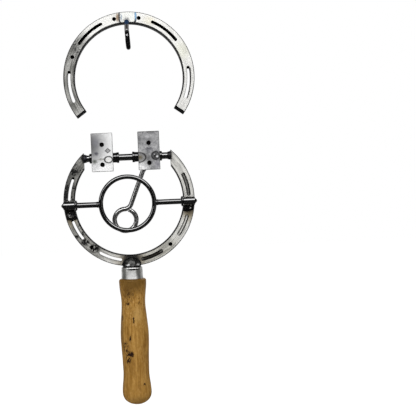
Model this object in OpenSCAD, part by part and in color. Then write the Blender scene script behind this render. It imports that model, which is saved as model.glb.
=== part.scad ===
// Wall-mounted wine opener: a hanger with a hook, a swinging lever with a bottle ring, and a corkscrew.
// Millimetres. The origin lies on the wall face, midway between the four screw holes of the wall plates.
// +X is to the right seen from the wall side, +Y points out of the wall into the room, +Z is up.

/* [Wall plates] */
// Width of each wall plate
plate_w = 21.3; // [18:0.1:25]
// Height of each wall plate
plate_h = 38; // [34:0.5:44]
// Thickness of each wall plate
plate_t = 5; // [4:0.1:7]
// Distance between the two plates' screw holes, left to right
plate_pitch = 46.4; // [42:0.1:56]
// Distance between the screw holes of one plate, up and down
hole_pitch = 19.8; // [19:0.1:24]
// Diameter of the wall screw holes
screw_hole_d = 4; // [3:0.1:4.2]
// How far the plate's middle lies above its screw holes' middle
plate_rise = 2.4; // [0:0.1:4]
// How far the axle lies below the screw holes' middle
axle_drop = 2.7; // [2:0.1:3]

/* [Hinge] */
// Diameter of the axle
axle_d = 6.8; // [5:0.1:7]
// Wall thickness of the hinge sleeves
hinge_wall = 1.52; // [1:0.02:2]
// Length of a hinge sleeve that shows past the plate's inner edge
hinge_in = 6; // [3:0.1:8]
// Length of a hinge sleeve that shows past the plate's outer edge
hinge_out = 2.5; // [1:0.1:4]
// Room between a hinge sleeve's outer end and the lever's heel
end_play = 7.45; // [6.8:0.05:10]
// Length of the welds at the ends of the axle
axle_weld_len = 4.2; // [3:0.1:4.6]
// Growth of those welds over the axle's radius
axle_weld_grow = 1.6; // [1:0.1:2.2]

/* [Shoes] */
// Outer radius of the lever's shoe
shoe_r = 66; // [62:0.5:72]
// Outer radius of the hanger's shoe
hanger_r = 65; // [61:0.5:71]
// Width of the flat web of both shoes
web_w = 11.3; // [10:0.1:13]
// Thickness of both shoes
shoe_t = 7.5; // [6:0.1:9]
// Width of the arc slots
slot_w = 3; // [2:0.1:4]
// Metal left under the arc slots that aren't cut through
slot_floor = 2; // [1:0.1:3]
// Diameter of the nail holes
nail_hole_d = 4; // [3:0.1:5]

/* [Hanger] */
// Place of the hanger to the right of the wall plates' middle
hanger_x = 6.5; // [-10:0.5:10]
// Height of the hanger's centre above the wall plates' middle
hanger_z = 75.5; // [70:0.1:110]
// Angle from the toe to each end of the hanger
hanger_end_a = 126; // [116:1:135]
// Distance between the hanger's two screw holes
hanger_screw_pitch = 24.4; // [20:0.1:26]
// Angle from the toe to the single nail hole in the left branch
hanger_nail_a = 68; // [60:0.5:74]

/* [Hook] */
// Diameter of the hook's rod
hook_d = 4.8; // [4:0.1:6]
// Distance from the wall to the middle of the hook's upright
hook_reach = 34; // [26:0.5:45]
// Bend radius where the rod turns down
hook_bend_r = 5; // [4:0.1:6]
// Depth of the hook's lowest point below its arm
hook_drop = 16.2; // [13:0.1:22]
// Lean of the hook to the right
hook_lean = 4; // [-8:0.5:8]
// Bend radius of the hook's cup
hook_cup_r = 6; // [5:0.1:7.5]
// Straight length of the hook's tip
hook_tip = 4; // [1:0.1:6]
// How far the rod's middle lies above the shoe's inner edge
hook_inset = 1; // [0.5:0.1:2]

/* [Lever] */
// Place of the lever on its axle, to the right of the wall plates' middle
lever_x = 1.5; // [-2:0.1:2]
// Distance from a heel's tip down to the axle
heel_tip = 5.9; // [5:0.1:8]
// How far the shoe's wall side lies behind the axle's middle
heel_set = 1.1; // [0.5:0.1:2]

/* [Bottle ring] */
// Inner diameter of the bottle ring
ring_in_d = 48.8; // [40:0.2:51]
// Diameter of the ring's rod
ring_rod_d = 4.7; // [4:0.1:5.2]
// Place of the ring on its bars, to the right of the lever's middle
ring_offset = -1.6; // [-3:0.1:3]
// How far the cross-bar lies below the shoe's centre
bar_drop = 3; // [2:0.1:6]
// Diameter of the pivot bars
bar_d = 5.6; // [4.5:0.1:6.4]
// Wall thickness of the bar sleeves
bar_wall = 1.42; // [1:0.02:1.6]
// Length of the bar sleeves
bar_sleeve_len = 11.6; // [9:0.1:14]
// Length of the bars' pointed tips outside the sleeves
bar_tip = 1.8; // [1:0.1:3]
// Thickness of the stop collars
collar_t = 2; // [1.5:0.1:4]
// Growth of the stop collars over the bar's radius
collar_grow = 2.4; // [1.5:0.1:2.6]
// Reach of the weld below the left bar sleeve's middle
left_weld_reach = 13; // [9:0.5:15]
// Reach of the weld below the right bar sleeve's middle
right_weld_reach = 8.5; // [7:0.5:15]
// Thickness of the welds below the bar sleeves
bar_weld_t = 3.4; // [2:0.1:4]

/* [Handle] */
// Diameter of the tang's round head
tang_head_d = 18.6; // [16:0.1:20]
// Depth of the tang's shoulder below the shoe's toe
tang_shoulder = 3; // [2:0.1:4]
// Diameter of the tang's spike
spike_d = 7; // [5:0.1:9]
// Length of the tang's spike inside the wood
spike_len = 60; // [40:1:75]
// Wall thickness of the ferrule
ferrule_wall = 1; // [0.6:0.05:1.6]
// Length of the ferrule
ferrule_len = 11.5; // [8:0.1:16]
// Gap between the shoe's toe and the ferrule
ferrule_gap = 1.2; // [0.5:0.1:1.6]
// Growth of the ferrule's radius towards the wood
ferrule_flare = 0.4; // [0.1:0.05:1]
// Diameter of the handle's shoulder under the ferrule
handle_shoulder_d = 27.6; // [25:0.1:29]
// Length of the shoulder's rounding
shoulder_len = 2.4; // [1:0.1:5]
// Diameter of the handle's waist
waist_d = 24.2; // [22:0.1:28]
// Length from the shoulder to the waist
waist_len = 21.6; // [16:0.1:30]
// Diameter of the handle's belly
belly_d = 28.5; // [25:0.1:29.2]
// Length from the waist to the belly
belly_len = 33.5; // [24:0.5:40]
// Diameter of the handle's lower grip
grip_d = 26; // [22:0.1:28]
// Length from the belly to the lower grip
grip_len = 35; // [26:0.5:44]
// Diameter of the handle's butt
butt_d = 29.2; // [26:0.1:29.4]
// Length from the lower grip to the butt
butt_len = 21; // [14:0.5:28]
// Length of the handle's rounded end
end_len = 13; // [8:0.1:16]

/* [Corkscrew] */
// Diameter of the corkscrew's wire at the eye and shank
wire_d = 5; // [4:0.1:5.6]
// Mean diameter of the eye
eye_d = 22.8; // [20:0.1:28]
// Bend radius where the eye turns into the shank
eye_bend_r = 8; // [7:0.1:10]
// Gap between the eye's free end and the bend
eye_gap = 0.6; // [0.5:0.1:6]
// Length from the eye's centre to the worm
shank_len = 54; // [40:1:70]
// Outer diameter of the worm
worm_d = 9.2; // [8.6:0.1:12]
// Diameter of the worm's wire
worm_wire_d = 3.4; // [2.6:0.1:3.8]
// Length of one turn of the worm
worm_pitch = 8.5; // [7.5:0.1:12]
// Number of turns of the worm
worm_turns = 4; // [3:0.5:6]
// Lean of the corkscrew to the right
corkscrew_lean = 22; // [0:1:40]
// Place of the eye to the right of the lever's middle
eye_x = -4.6; // [-10:0.1:10]
// Depth of the eye below the shoe's centre
eye_drop = 19.9; // [10:0.1:30]

/* [Fits] */
// Radial clearance of the axle and the pivot bars in their sleeves
run_clear = 0.08; // [0.02:0.01:0.1]
// Clearance round pieces that are welded or driven in
weld_gap = 0.1; // [0.05:0.01:0.2]
// Room between the corkscrew and the sweeps of the ring and of the lever
sweep_clear = 0.6; // [0.4:0.1:5]
// End play between the stop collars and the bar sleeves
collar_play = 0.4; // [0.3:0.05:1]

/* [Hidden] */
$fn = 64;
LEFT = -1;
RIGHT = 1;
TOE_UP = 1;
TOE_DOWN = -1;
overcut = 1;

// Hinge
hinge_sleeve_d = axle_d + 2 * (run_clear + hinge_wall);
axle_y = plate_t + weld_gap + hinge_sleeve_d / 2;
axle_z = -axle_drop;
hinge_x0 = plate_pitch / 2 - plate_w / 2 - hinge_in;
hinge_x1 = plate_pitch / 2 + plate_w / 2 + hinge_out;
// Fillet welds: leg as a share of the sleeve, then root and crown as shares of the leg
fillet_leg = 0.44 * hinge_sleeve_d;
fillet_root = 0.1;
fillet_crown = [0.6, 0.9];
fillet_run = 0.7 * plate_w;

// Shoes
shoe_in_r = shoe_r - web_w;
slot_r = shoe_r - web_w / 2;
hanger_in_r = hanger_r - web_w;
hanger_slot_r = hanger_r - web_w / 2;
heel_x = hinge_x1 + end_play;
axle_rise = sqrt(shoe_r * shoe_r - heel_x * heel_x) - heel_tip;
lever_z = axle_z - axle_rise;
lever_y = axle_y + heel_set;
lever_mid_y = lever_y + shoe_t / 2;
// Each slot runs between two drilled holes that are a little wider than it
slot_end_grow = 0.3;
hanger_hole_z = sqrt(hanger_slot_r * hanger_slot_r - hanger_screw_pitch * hanger_screw_pitch / 4);
// Each slot: angles from the toe to its two ends, side, and whether it is cut right through
hanger_slots = [
    [25.5, 53.5, LEFT, false], [25.5, 53.5, RIGHT, false],
    [83, 111, LEFT, true], [83, 111, RIGHT, true]
];
lever_slots = [
    [10.5, 30.5, LEFT, true], [53.5, 72.5, LEFT, true], [93.5, 113.5, LEFT, true],
    [10.5, 30.5, RIGHT, false], [53.5, 72.5, RIGHT, false], [93.5, 113.5, RIGHT, false]
];
// Each nail hole: angle from the toe and side
hanger_nails = [[hanger_nail_a, LEFT], [83, LEFT], [83, RIGHT]];
lever_nails = [[41, LEFT], [41, RIGHT]];

// Hook
hook_arm_z = hanger_z + hanger_in_r + hook_inset;
hook_weld_grow = 2.2;
hook_weld_r = hook_d / 2 + hook_weld_grow;
hook_weld_len = 2.6;

// Ring and bars
ring_r = (ring_in_d + ring_rod_d) / 2;
ring_out_r = ring_r + ring_rod_d / 2;
ring_x = lever_x + ring_offset;
bar_sleeve_d = bar_d + 2 * (run_clear + bar_wall);
bar_y = lever_y - weld_gap - bar_sleeve_d / 2;
bar_z = lever_z - bar_drop;
collar_r = bar_d / 2 + collar_grow;
bar_sleeve_x0 = sqrt(shoe_in_r * shoe_in_r - pow(bar_drop + collar_r, 2));
bar_sleeve_x1 = bar_sleeve_x0 + bar_sleeve_len;
ring_weld_len = 4;
ring_weld_lap = 1.4;
ring_weld_grow = 1;
bar_point_r = 1;

// Handle
toe_z = lever_z - shoe_r;
ferrule_z = toe_z - ferrule_gap;
ferrule_clear = 0.3;
ferrule_bore_r = tang_head_d / 2 + ferrule_clear;
wood_z = ferrule_z - ferrule_len;
neck_top = toe_z - tang_shoulder - weld_gap;
// Stations down the wood: depth below its top and radius, each a widest or a narrowest place
wood_stations = [
    [shoulder_len, handle_shoulder_d / 2],
    [shoulder_len + waist_len, waist_d / 2],
    [shoulder_len + waist_len + belly_len, belly_d / 2],
    [shoulder_len + waist_len + belly_len + grip_len, grip_d / 2],
    [shoulder_len + waist_len + belly_len + grip_len + butt_len, butt_d / 2]
];
wood_len = wood_stations[4][0] + end_len;
wood_steps = 6;
wood_mouth_r = ferrule_bore_r + ferrule_wall + ferrule_flare;
end_power = 2.6;

// Corkscrew
eye_r = eye_d / 2;
worm_r = (worm_d - worm_wire_d) / 2;
// It lies clear of the ring's full turn, and clear of the plates' upper corners where it follows the lever
plate_corner_r = norm([axle_y, plate_rise + plate_h / 2 - axle_z]);
ring_side_y = bar_y + ring_out_r + wire_d / 2;
plate_side_y = axle_y + plate_corner_r + worm_d / 2;
corkscrew_y = max(ring_side_y, plate_side_y) + sweep_clear;
wire_sides = 12;
eye_steps = 36;
bend_steps = 7;
turn_steps = 18;
worm_lead_in = 0.75;
worm_point = 1.1;
tip_r = 0.35;

// Stands what was drawn flat, as seen from the wall side, with its top face towards the wall
module facing_wall(x, y, z) {
    translate([x, y, z]) rotate([90, 0, 0]) children();
}

// Turns local x, y and z into Y, Z and X
module across() {
    rotate(120, [1, 1, 1]) children();
}

module x_rod(d, x0, x1) {
    translate([x0, 0, 0]) rotate([0, 90, 0]) cylinder(d = d, h = x1 - x0);
}

module y_rod(d, y0, y1) {
    translate([0, y1, 0]) rotate([90, 0, 0]) cylinder(d = d, h = y1 - y0);
}

// Wall plate with its two screw holes
module wall_plate(side) {
    color([0.72, 0.73, 0.75]) translate([side * plate_pitch / 2, 0, 0]) difference() {
        translate([-plate_w / 2, 0, plate_rise - plate_h / 2]) cube([plate_w, plate_t, plate_h]);
        for (z = [-hole_pitch / 2, hole_pitch / 2])
            translate([0, 0, z]) y_rod(screw_hole_d, -overcut, plate_t + overcut);
    }
}

// Tube on the room side of a wall plate, in which the axle turns
module hinge_sleeve(side) {
    color([0.1, 0.1, 0.11]) translate([0, axle_y, axle_z]) mirror([side == LEFT ? 1 : 0, 0, 0])
        difference() {
            x_rod(hinge_sleeve_d, hinge_x0, hinge_x1);
            x_rod(axle_d + 2 * run_clear, hinge_x0 - overcut, hinge_x1 + overcut);
        }
}

// Fillet welds above and below a hinge sleeve
module sleeve_weld(side) {
    fillet = [[0, fillet_root * fillet_leg], [0, fillet_leg], fillet_crown * fillet_leg];
    start = side * plate_pitch / 2 - fillet_run / 2;
    color([0.16, 0.15, 0.15]) difference() {
        translate([start, plate_t, axle_z]) across() linear_extrude(fillet_run) {
            polygon(fillet);
            mirror([0, 1]) polygon(fillet);
        }
        translate([0, axle_y, axle_z]) x_rod(hinge_sleeve_d + weld_gap, -heel_x, heel_x);
    }
}

// Cutter for one arc slot on a shoe, between two angles from the x axis on a middle radius
module arc_slot(a0, a1, mid_r, bottom) {
    depth = shoe_t + overcut - bottom;
    translate([0, 0, bottom]) {
        rotate([0, 0, min(a0, a1)]) rotate_extrude(angle = abs(a1 - a0))
            translate([mid_r - slot_w / 2, 0]) square([slot_w, depth]);
        for (a = [a0, a1])
            rotate([0, 0, a]) translate([mid_r, 0, 0]) cylinder(d = slot_w + slot_end_grow, h = depth);
    }
}

// Flat shoe, drawn with its top face towards the wall and its toe up or down
module shoe(out_r, toe, slots, nails) {
    mid_r = out_r - web_w / 2;
    difference() {
        linear_extrude(shoe_t) difference() {
            circle(r = out_r);
            circle(r = out_r - web_w);
        }
        for (s = slots)
            arc_slot(toe * (90 - s[2] * s[0]), toe * (90 - s[2] * s[1]), mid_r, s[3] ? -overcut : slot_floor);
        for (n = nails)
            rotate([0, 0, toe * (90 - n[1] * n[0])]) translate([mid_r, 0, -overcut])
                cylinder(d = nail_hole_d, h = shoe_t + 2 * overcut);
    }
}

// Upper shoe: open below, with two wall screw holes and a notch for the hook's rod
module hanger_shoe() {
    far = 2 * hanger_r;
    mouth = [[0, 0], [far * sin(hanger_end_a), far * cos(hanger_end_a)], [far * sin(hanger_end_a), -far],
        [-far * sin(hanger_end_a), -far], [-far * sin(hanger_end_a), far * cos(hanger_end_a)]];
    color([0.88, 0.87, 0.84]) facing_wall(hanger_x, shoe_t, hanger_z) difference() {
        shoe(hanger_r, TOE_UP, hanger_slots, hanger_nails);
        translate([0, 0, -overcut]) linear_extrude(shoe_t + 2 * overcut) polygon(mouth);
        for (side = [LEFT, RIGHT])
            translate([side * hanger_screw_pitch / 2, hanger_hole_z, -overcut])
                cylinder(d = screw_hole_d, h = shoe_t + 2 * overcut);
        translate([0, hanger_in_r + hook_inset, -overcut])
            cylinder(d = hook_d + weld_gap, h = shoe_t + 2 * overcut);
    }
}

// Hook bent from round rod, its end flush with the wall face
module hanger_hook() {
    cup_y = hook_cup_r - hook_drop;
    color([0.2, 0.2, 0.22]) translate([hanger_x, 0, hook_arm_z]) rotate([0, -hook_lean, 0]) across() {
        x_rod(hook_d, 0, hook_reach - hook_bend_r);
        translate([hook_reach - hook_bend_r, -hook_bend_r, 0])
            rotate_extrude(angle = 90) translate([hook_bend_r, 0]) circle(d = hook_d);
        translate([hook_reach, -hook_bend_r, 0]) rotate([90, 0, 0])
            cylinder(d = hook_d, h = -cup_y - hook_bend_r);
        translate([hook_reach + hook_cup_r, cup_y, 0]) rotate([0, 0, 180])
            rotate_extrude(angle = 180) translate([hook_cup_r, 0]) circle(d = hook_d);
        translate([hook_reach + 2 * hook_cup_r, cup_y, 0]) rotate([-90, 0, 0])
            cylinder(d = hook_d, h = hook_tip);
        translate([hook_reach + 2 * hook_cup_r, cup_y + hook_tip, 0]) sphere(d = hook_d);
    }
}

// Weld round the hook's rod on the room side of the hanger
module hook_weld() {
    color([0.35, 0.33, 0.32]) translate([hanger_x, shoe_t, hook_arm_z]) difference() {
        rotate([-90, 0, 0]) cylinder(r1 = hook_weld_r, r2 = hook_d / 2 + weld_gap, h = hook_weld_len);
        y_rod(hook_d, -overcut, hook_weld_len + overcut);
        translate([-hook_weld_r - overcut, -overcut, -2 * hook_weld_r - hook_inset])
            cube([2 * (hook_weld_r + overcut), hook_weld_len + 2 * overcut, 2 * hook_weld_r]);
    }
}

// Lower shoe: toe down, with its heels cut off straight where the axle is welded in
module lever_shoe() {
    color([0.7, 0.69, 0.66]) facing_wall(lever_x, lever_y + shoe_t, lever_z) difference() {
        shoe(shoe_r, TOE_DOWN, lever_slots, lever_nails);
        translate([-heel_x, 0, -overcut]) cube([2 * heel_x, shoe_r + overcut, shoe_t + 2 * overcut]);
    }
}

// Rod welded between the lever's heels
module axle() {
    color([0.08, 0.08, 0.09]) translate([lever_x, axle_y, axle_z]) x_rod(axle_d, -heel_x, heel_x);
}

// Tapered weld at each end of the axle
module axle_welds() {
    color([0.16, 0.15, 0.15]) translate([lever_x, axle_y, axle_z]) for (side = [LEFT, RIGHT])
        mirror([side == LEFT ? 1 : 0, 0, 0]) difference() {
            translate([heel_x, 0, 0]) rotate([0, -90, 0])
                cylinder(r1 = axle_d / 2 + axle_weld_grow, r2 = axle_d / 2 + weld_gap, h = axle_weld_len);
            x_rod(axle_d, 0, heel_x + overcut);
        }
}

// Short tube across one branch of the lever's shoe
module bar_sleeve(side) {
    color([0.08, 0.08, 0.09]) translate([lever_x, bar_y, bar_z]) mirror([side == LEFT ? 1 : 0, 0, 0])
        difference() {
            x_rod(bar_sleeve_d, bar_sleeve_x0, bar_sleeve_x1);
            x_rod(bar_d + 2 * run_clear, bar_sleeve_x0 - overcut, bar_sleeve_x1 + overcut);
        }
}

// Weld on the wall side of the shoe, below a bar sleeve
module bar_sleeve_weld(side, reach) {
    margin = 0.5;
    top = -bar_drop - bar_sleeve_d / 4;
    bottom = -bar_drop - reach;
    color([0.12, 0.11, 0.11]) difference() {
        facing_wall(lever_x, lever_y, lever_z) linear_extrude(bar_weld_t) intersection() {
            difference() {
                circle(r = shoe_r - margin);
                circle(r = shoe_in_r + margin);
            }
            translate([side == LEFT ? -shoe_r : 0, bottom]) square([shoe_r, top - bottom]);
        }
        translate([lever_x, bar_y, bar_z])
            x_rod(bar_sleeve_d + weld_gap, -shoe_r - bar_tip, shoe_r + bar_tip);
    }
}

// Round steel head that straddles the shoe's toe, with a spike for the wood
module handle_tang() {
    color([0.3, 0.3, 0.32]) {
        difference() {
            translate([lever_x, lever_mid_y, toe_z]) sphere(d = tang_head_d);
            facing_wall(lever_x, lever_y + shoe_t + weld_gap / 2, lever_z)
                cylinder(r = shoe_r + weld_gap / 2, h = shoe_t + weld_gap);
            translate([lever_x, lever_mid_y, toe_z - tang_shoulder - tang_head_d / 2])
                cube([2 * tang_head_d, 2 * tang_head_d, tang_head_d], center = true);
        }
        translate([lever_x, lever_mid_y, toe_z - tang_shoulder - spike_len])
            cylinder(d = spike_d, h = spike_len + tang_shoulder / 2);
    }
}

// Weld beads round the tang's head on both faces of the shoe
module tang_weld() {
    bead_r = 0.9;
    bead_from = 15;
    seat_r = sqrt(tang_head_d * tang_head_d - shoe_t * shoe_t) / 2;
    color([0.2, 0.18, 0.17]) difference() {
        for (y = [lever_y, lever_y + shoe_t])
            facing_wall(lever_x, y, toe_z) rotate([0, 0, bead_from])
                rotate_extrude(angle = 180 - 2 * bead_from)
                    translate([seat_r + bead_r / 2, 0]) circle(r = bead_r);
        facing_wall(lever_x, lever_y + shoe_t, lever_z) cylinder(r = shoe_r + overcut, h = shoe_t);
        translate([lever_x, lever_mid_y, toe_z]) sphere(d = tang_head_d + weld_gap / 2);
    }
}

// Steel tube at the top of the handle
module ferrule() {
    top_r = ferrule_bore_r + ferrule_wall;
    color([0.75, 0.75, 0.76]) translate([lever_x, lever_mid_y, wood_z]) difference() {
        cylinder(r1 = top_r + ferrule_flare, r2 = top_r, h = ferrule_len);
        translate([0, 0, -overcut]) cylinder(r = ferrule_bore_r, h = ferrule_len + 2 * overcut);
    }
}

// Radius of the wood at part t of the way between two stations
function swell(a, b, t) = a + (b - a) * (1 - cos(180 * t)) / 2;

// Outline of the turned wood, from its rounded shoulder down to its rounded end
function wood_outline() = concat(
    [for (i = [0:wood_steps - 1])
        let (t = i / wood_steps, grow = handle_shoulder_d / 2 - wood_mouth_r)
        [wood_mouth_r + grow * sqrt(1 - pow(1 - t, 2)), -shoulder_len * t]],
    [for (s = [0:len(wood_stations) - 2], i = [0:wood_steps - 1])
        let (t = i / wood_steps, a = wood_stations[s], b = wood_stations[s + 1])
        [swell(a[1], b[1], t), -(a[0] + (b[0] - a[0]) * t)]],
    [for (i = [0:2 * wood_steps - 1])
        let (t = sin(90 * i / (2 * wood_steps)))
        [butt_d / 2 * sqrt(1 - pow(t, end_power)), -(wood_len - end_len + end_len * t)]],
    [[0, -wood_len], [0, 0]]
);

// Turned wooden handle with a neck inside the ferrule and a bore for the spike
module wooden_handle() {
    color([0.62, 0.44, 0.2]) translate([lever_x, lever_mid_y, wood_z]) difference() {
        union() {
            rotate_extrude() polygon(wood_outline());
            cylinder(r = ferrule_bore_r - weld_gap / 2, h = neck_top - wood_z);
        }
        translate([0, 0, neck_top - wood_z - spike_len - overcut])
            cylinder(d = spike_d + weld_gap, h = spike_len + 2 * overcut);
    }
}

// Closed ring of round rod that rests on the bottle's shoulders
module ring_torus(d) {
    facing_wall(ring_x, bar_y, bar_z) rotate_extrude() translate([ring_r, 0]) circle(d = d);
}

module bottle_ring() {
    color([0.07, 0.07, 0.08]) ring_torus(ring_rod_d);
}

// Rod from the ring through one bar sleeve, with a pointed end
module pivot_bar(side) {
    foot = ring_out_r + weld_gap / 2 + side * ring_offset;
    neck = bar_sleeve_x1 + collar_play;
    tip = neck + bar_tip;
    outline = [[0, foot], [bar_d / 2, foot], [bar_d / 2, neck], [bar_point_r, tip], [0, tip]];
    color([0.07, 0.07, 0.08]) translate([lever_x, bar_y, bar_z]) mirror([side == LEFT ? 1 : 0, 0, 0])
        rotate([0, 90, 0]) rotate_extrude() polygon(outline);
}

// Weld where each bar meets the ring
module ring_welds() {
    color([0.12, 0.11, 0.11]) for (side = [LEFT, RIGHT]) difference() {
        translate([ring_x, bar_y, bar_z]) mirror([side == LEFT ? 1 : 0, 0, 0]) difference() {
            translate([ring_out_r - ring_weld_lap, 0, 0]) rotate([0, 90, 0])
                cylinder(r1 = bar_d / 2 + ring_weld_grow, r2 = bar_d / 2 + weld_gap, h = ring_weld_len);
            x_rod(bar_d, 0, 2 * ring_out_r);
        }
        ring_torus(ring_rod_d + weld_gap / 2);
    }
}

// Collar on each bar that keeps the ring in the middle of the lever
module stop_collars() {
    collar_x1 = bar_sleeve_x0 - collar_play;
    color([0.08, 0.08, 0.09]) translate([lever_x, bar_y, bar_z]) for (side = [LEFT, RIGHT])
        mirror([side == LEFT ? 1 : 0, 0, 0]) difference() {
            x_rod(2 * collar_r, collar_x1 - collar_t, collar_x1);
            x_rod(bar_d, 0, bar_sleeve_x0);
        }
}

// Centre line of the corkscrew's wire, each point with its wire radius: eye, bend, shank and worm.
// The eye's centre is the origin and the shank runs along +y.
function ease(t) = t <= 0 ? 0 : t >= 1 ? 1 : t * t * (3 - 2 * t);
bend_far = eye_r + eye_bend_r;
eye_bend_a = asin(eye_bend_r / bend_far);
shank_start = sqrt(pow(bend_far, 2) - pow(eye_bend_r, 2));
// The free end's outer corner stays eye_gap from the bend's surface
end_corner_r = eye_r + wire_d / 2;
end_far = eye_bend_r + wire_d / 2 + eye_gap;
end_turn = acos((pow(end_corner_r, 2) + pow(bend_far, 2) - pow(end_far, 2)) / (2 * end_corner_r * bend_far));
eye_end_a = end_turn - eye_bend_a;
function eye_line() = [for (i = [0:eye_steps])
    let (a = eye_end_a + (360 - eye_bend_a - eye_end_a) * i / eye_steps)
    [eye_r * sin(a), eye_r * cos(a), 0, wire_d / 2]];
function bend_line() = [for (i = [1:bend_steps])
    let (a = (90 - eye_bend_a) * (1 - i / bend_steps))
    [eye_bend_r * (cos(a) - 1), shank_start - eye_bend_r * sin(a), 0, wire_d / 2]];
function worm_line() = [for (i = [0:worm_turns * turn_steps])
    let (
        turn = i / turn_steps,
        out = worm_r * ease(turn / worm_lead_in),
        thin = wire_d / 2 + (worm_wire_d - wire_d) / 2 * ease(turn / worm_lead_in),
        taper = ease((worm_turns - turn) / worm_point),
        wire_r = tip_r + (thin - tip_r) * taper
    )
    [out * sin(360 * turn), shank_len + worm_pitch * turn, out * cos(360 * turn), wire_r]];
wire_line = concat(eye_line(), bend_line(), worm_line());
wire_count = len(wire_line);

function place(i) = [wire_line[i][0], wire_line[i][1], wire_line[i][2]];
function unit(v) = v / norm(v);
function along(i) = unit(place(min(i + 1, wire_count - 1)) - place(max(i - 1, 0)));
function square_to(n, t) = unit(n - (n * t) * t);
// A normal that is carried along the wire without twist
wire_normals = [
    for (i = 0, n = [0, 0, 1]; i < wire_count; i = i + 1, n = square_to(n, along(min(i, wire_count - 1)))) n
];
wire_points = [for (i = [0:wire_count - 1], k = [0:wire_sides - 1])
    let (t = along(i), n = square_to(wire_normals[i], t), b = cross(t, n), a = 360 * k / wire_sides)
    place(i) + wire_line[i][3] * (cos(a) * n + sin(a) * b)];
wire_faces = concat(
    [[for (k = [0:wire_sides - 1]) k]],
    [for (i = [0:wire_count - 2], k = [0:wire_sides - 1])
        let (a = i * wire_sides + k, b = i * wire_sides + (k + 1) % wire_sides)
        each [[a, a + wire_sides, b], [b, a + wire_sides, b + wire_sides]]],
    [[for (k = [wire_sides - 1:-1:0]) (wire_count - 1) * wire_sides + k]]
);

// Least gap of the wire to itself, from the points of its surface to turns a few diameters away along it;
// the free end is cut square, so its last half diameter counts by its own points alone
function wire_dist(i, j) = min([for (k = [0:wire_sides - 1])
    norm(wire_points[i * wire_sides + k] - place(j)) - wire_line[j][3]]);
function step_from(i) = norm(place(min(i + 1, wire_count - 1)) - place(i));
wire_run = [for (i = 0, s = 0; i < wire_count; s = s + step_from(i), i = i + 1) s];
wire_gap = min([for (i = [0:wire_count - 1], j = [0:wire_count - 1])
    if (abs(wire_run[j] - wire_run[i]) > 3 * wire_d && wire_run[j] > wire_d / 2) wire_dist(i, j)]);
echo(least_wire_gap = wire_gap);

// Corkscrew bent from one wire, loose behind the ring
module corkscrew() {
    color([0.55, 0.55, 0.56]) facing_wall(lever_x + eye_x, corkscrew_y, lever_z - eye_drop)
        rotate([0, 0, -corkscrew_lean]) polyhedron(wire_points, wire_faces);
}

wall_plate(LEFT);  // left_wall_plate
wall_plate(RIGHT);  // right_wall_plate
hinge_sleeve(LEFT);  // left_hinge_sleeve
hinge_sleeve(RIGHT);  // right_hinge_sleeve
sleeve_weld(LEFT);  // left_sleeve_weld
sleeve_weld(RIGHT);  // right_sleeve_weld
hanger_shoe();
hanger_hook();
hook_weld();
lever_shoe();
axle();
axle_welds();
bar_sleeve(LEFT);  // left_bar_sleeve
bar_sleeve(RIGHT);  // right_bar_sleeve
bar_sleeve_weld(LEFT, left_weld_reach);  // left_bar_sleeve_weld
bar_sleeve_weld(RIGHT, right_weld_reach);  // right_bar_sleeve_weld
handle_tang();
tang_weld();
ferrule();
wooden_handle();
bottle_ring();
pivot_bar(LEFT);  // left_pivot_bar
pivot_bar(RIGHT);  // right_pivot_bar
ring_welds();
stop_collars();
corkscrew();
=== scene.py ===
import math
import bpy
from mathutils import Matrix
from mathutils import Vector


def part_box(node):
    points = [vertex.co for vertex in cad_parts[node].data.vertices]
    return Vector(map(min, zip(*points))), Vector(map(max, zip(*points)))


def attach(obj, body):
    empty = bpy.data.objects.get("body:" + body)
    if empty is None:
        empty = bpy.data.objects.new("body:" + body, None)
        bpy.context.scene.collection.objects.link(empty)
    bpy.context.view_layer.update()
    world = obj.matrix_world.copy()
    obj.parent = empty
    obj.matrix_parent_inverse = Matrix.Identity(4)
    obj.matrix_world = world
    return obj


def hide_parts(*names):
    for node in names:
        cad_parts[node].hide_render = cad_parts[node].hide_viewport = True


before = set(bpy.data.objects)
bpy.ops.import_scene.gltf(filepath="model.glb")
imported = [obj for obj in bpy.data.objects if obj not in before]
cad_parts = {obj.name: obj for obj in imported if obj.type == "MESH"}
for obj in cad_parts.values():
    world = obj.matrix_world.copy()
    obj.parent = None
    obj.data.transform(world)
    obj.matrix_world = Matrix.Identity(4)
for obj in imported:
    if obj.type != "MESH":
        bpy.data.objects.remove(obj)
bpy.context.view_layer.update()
MM = 0.001

# Camera: it stands on the wall side of the set, level with the cross-bar, and looks into the room.
# The picture is square; the set hangs left of its middle, so the lens is shifted sideways.
bpy.context.scene.view_settings.view_transform = "Standard"
camera_at = (0.003, -0.7, -0.05387)
camera_roll = math.radians(2.44)
bpy.ops.object.camera_add(location=camera_at, rotation=(math.radians(90), camera_roll, 0))
camera = bpy.context.object
camera.data.sensor_width = 36.0
camera.data.lens = 61.25
camera.data.shift_x = 0.1854
bpy.context.scene.camera = camera


# Wall plates: two pieces of galvanised flat bar, sawn to length and drilled for two screws each.
# They are the fixed half of the hinge; the heat of the welds behind has marked their wall faces.
def deselect_all():
    bpy.ops.object.select_all(action="DESELECT")


def select_only(piece):
    deselect_all()
    piece.select_set(True)
    bpy.context.view_layer.objects.active = piece


def start_edit():
    bpy.ops.object.mode_set(mode="EDIT")
    bpy.ops.mesh.select_all(action="SELECT")


def end_edit():
    bpy.ops.object.mode_set(mode="OBJECT")


def set_in_mesh():
    """Moves the new piece's place, turn and size into its mesh."""
    bpy.ops.object.transform_apply(location=True, rotation=True, scale=True)
    return bpy.context.object


def add_block(low, high):
    """A box between two corners, as a start for a piece."""
    deselect_all()
    bpy.ops.mesh.primitive_cube_add(size=1, location=(low + high) / 2)
    bpy.ops.transform.resize(value=high - low)
    return set_in_mesh()


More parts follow.
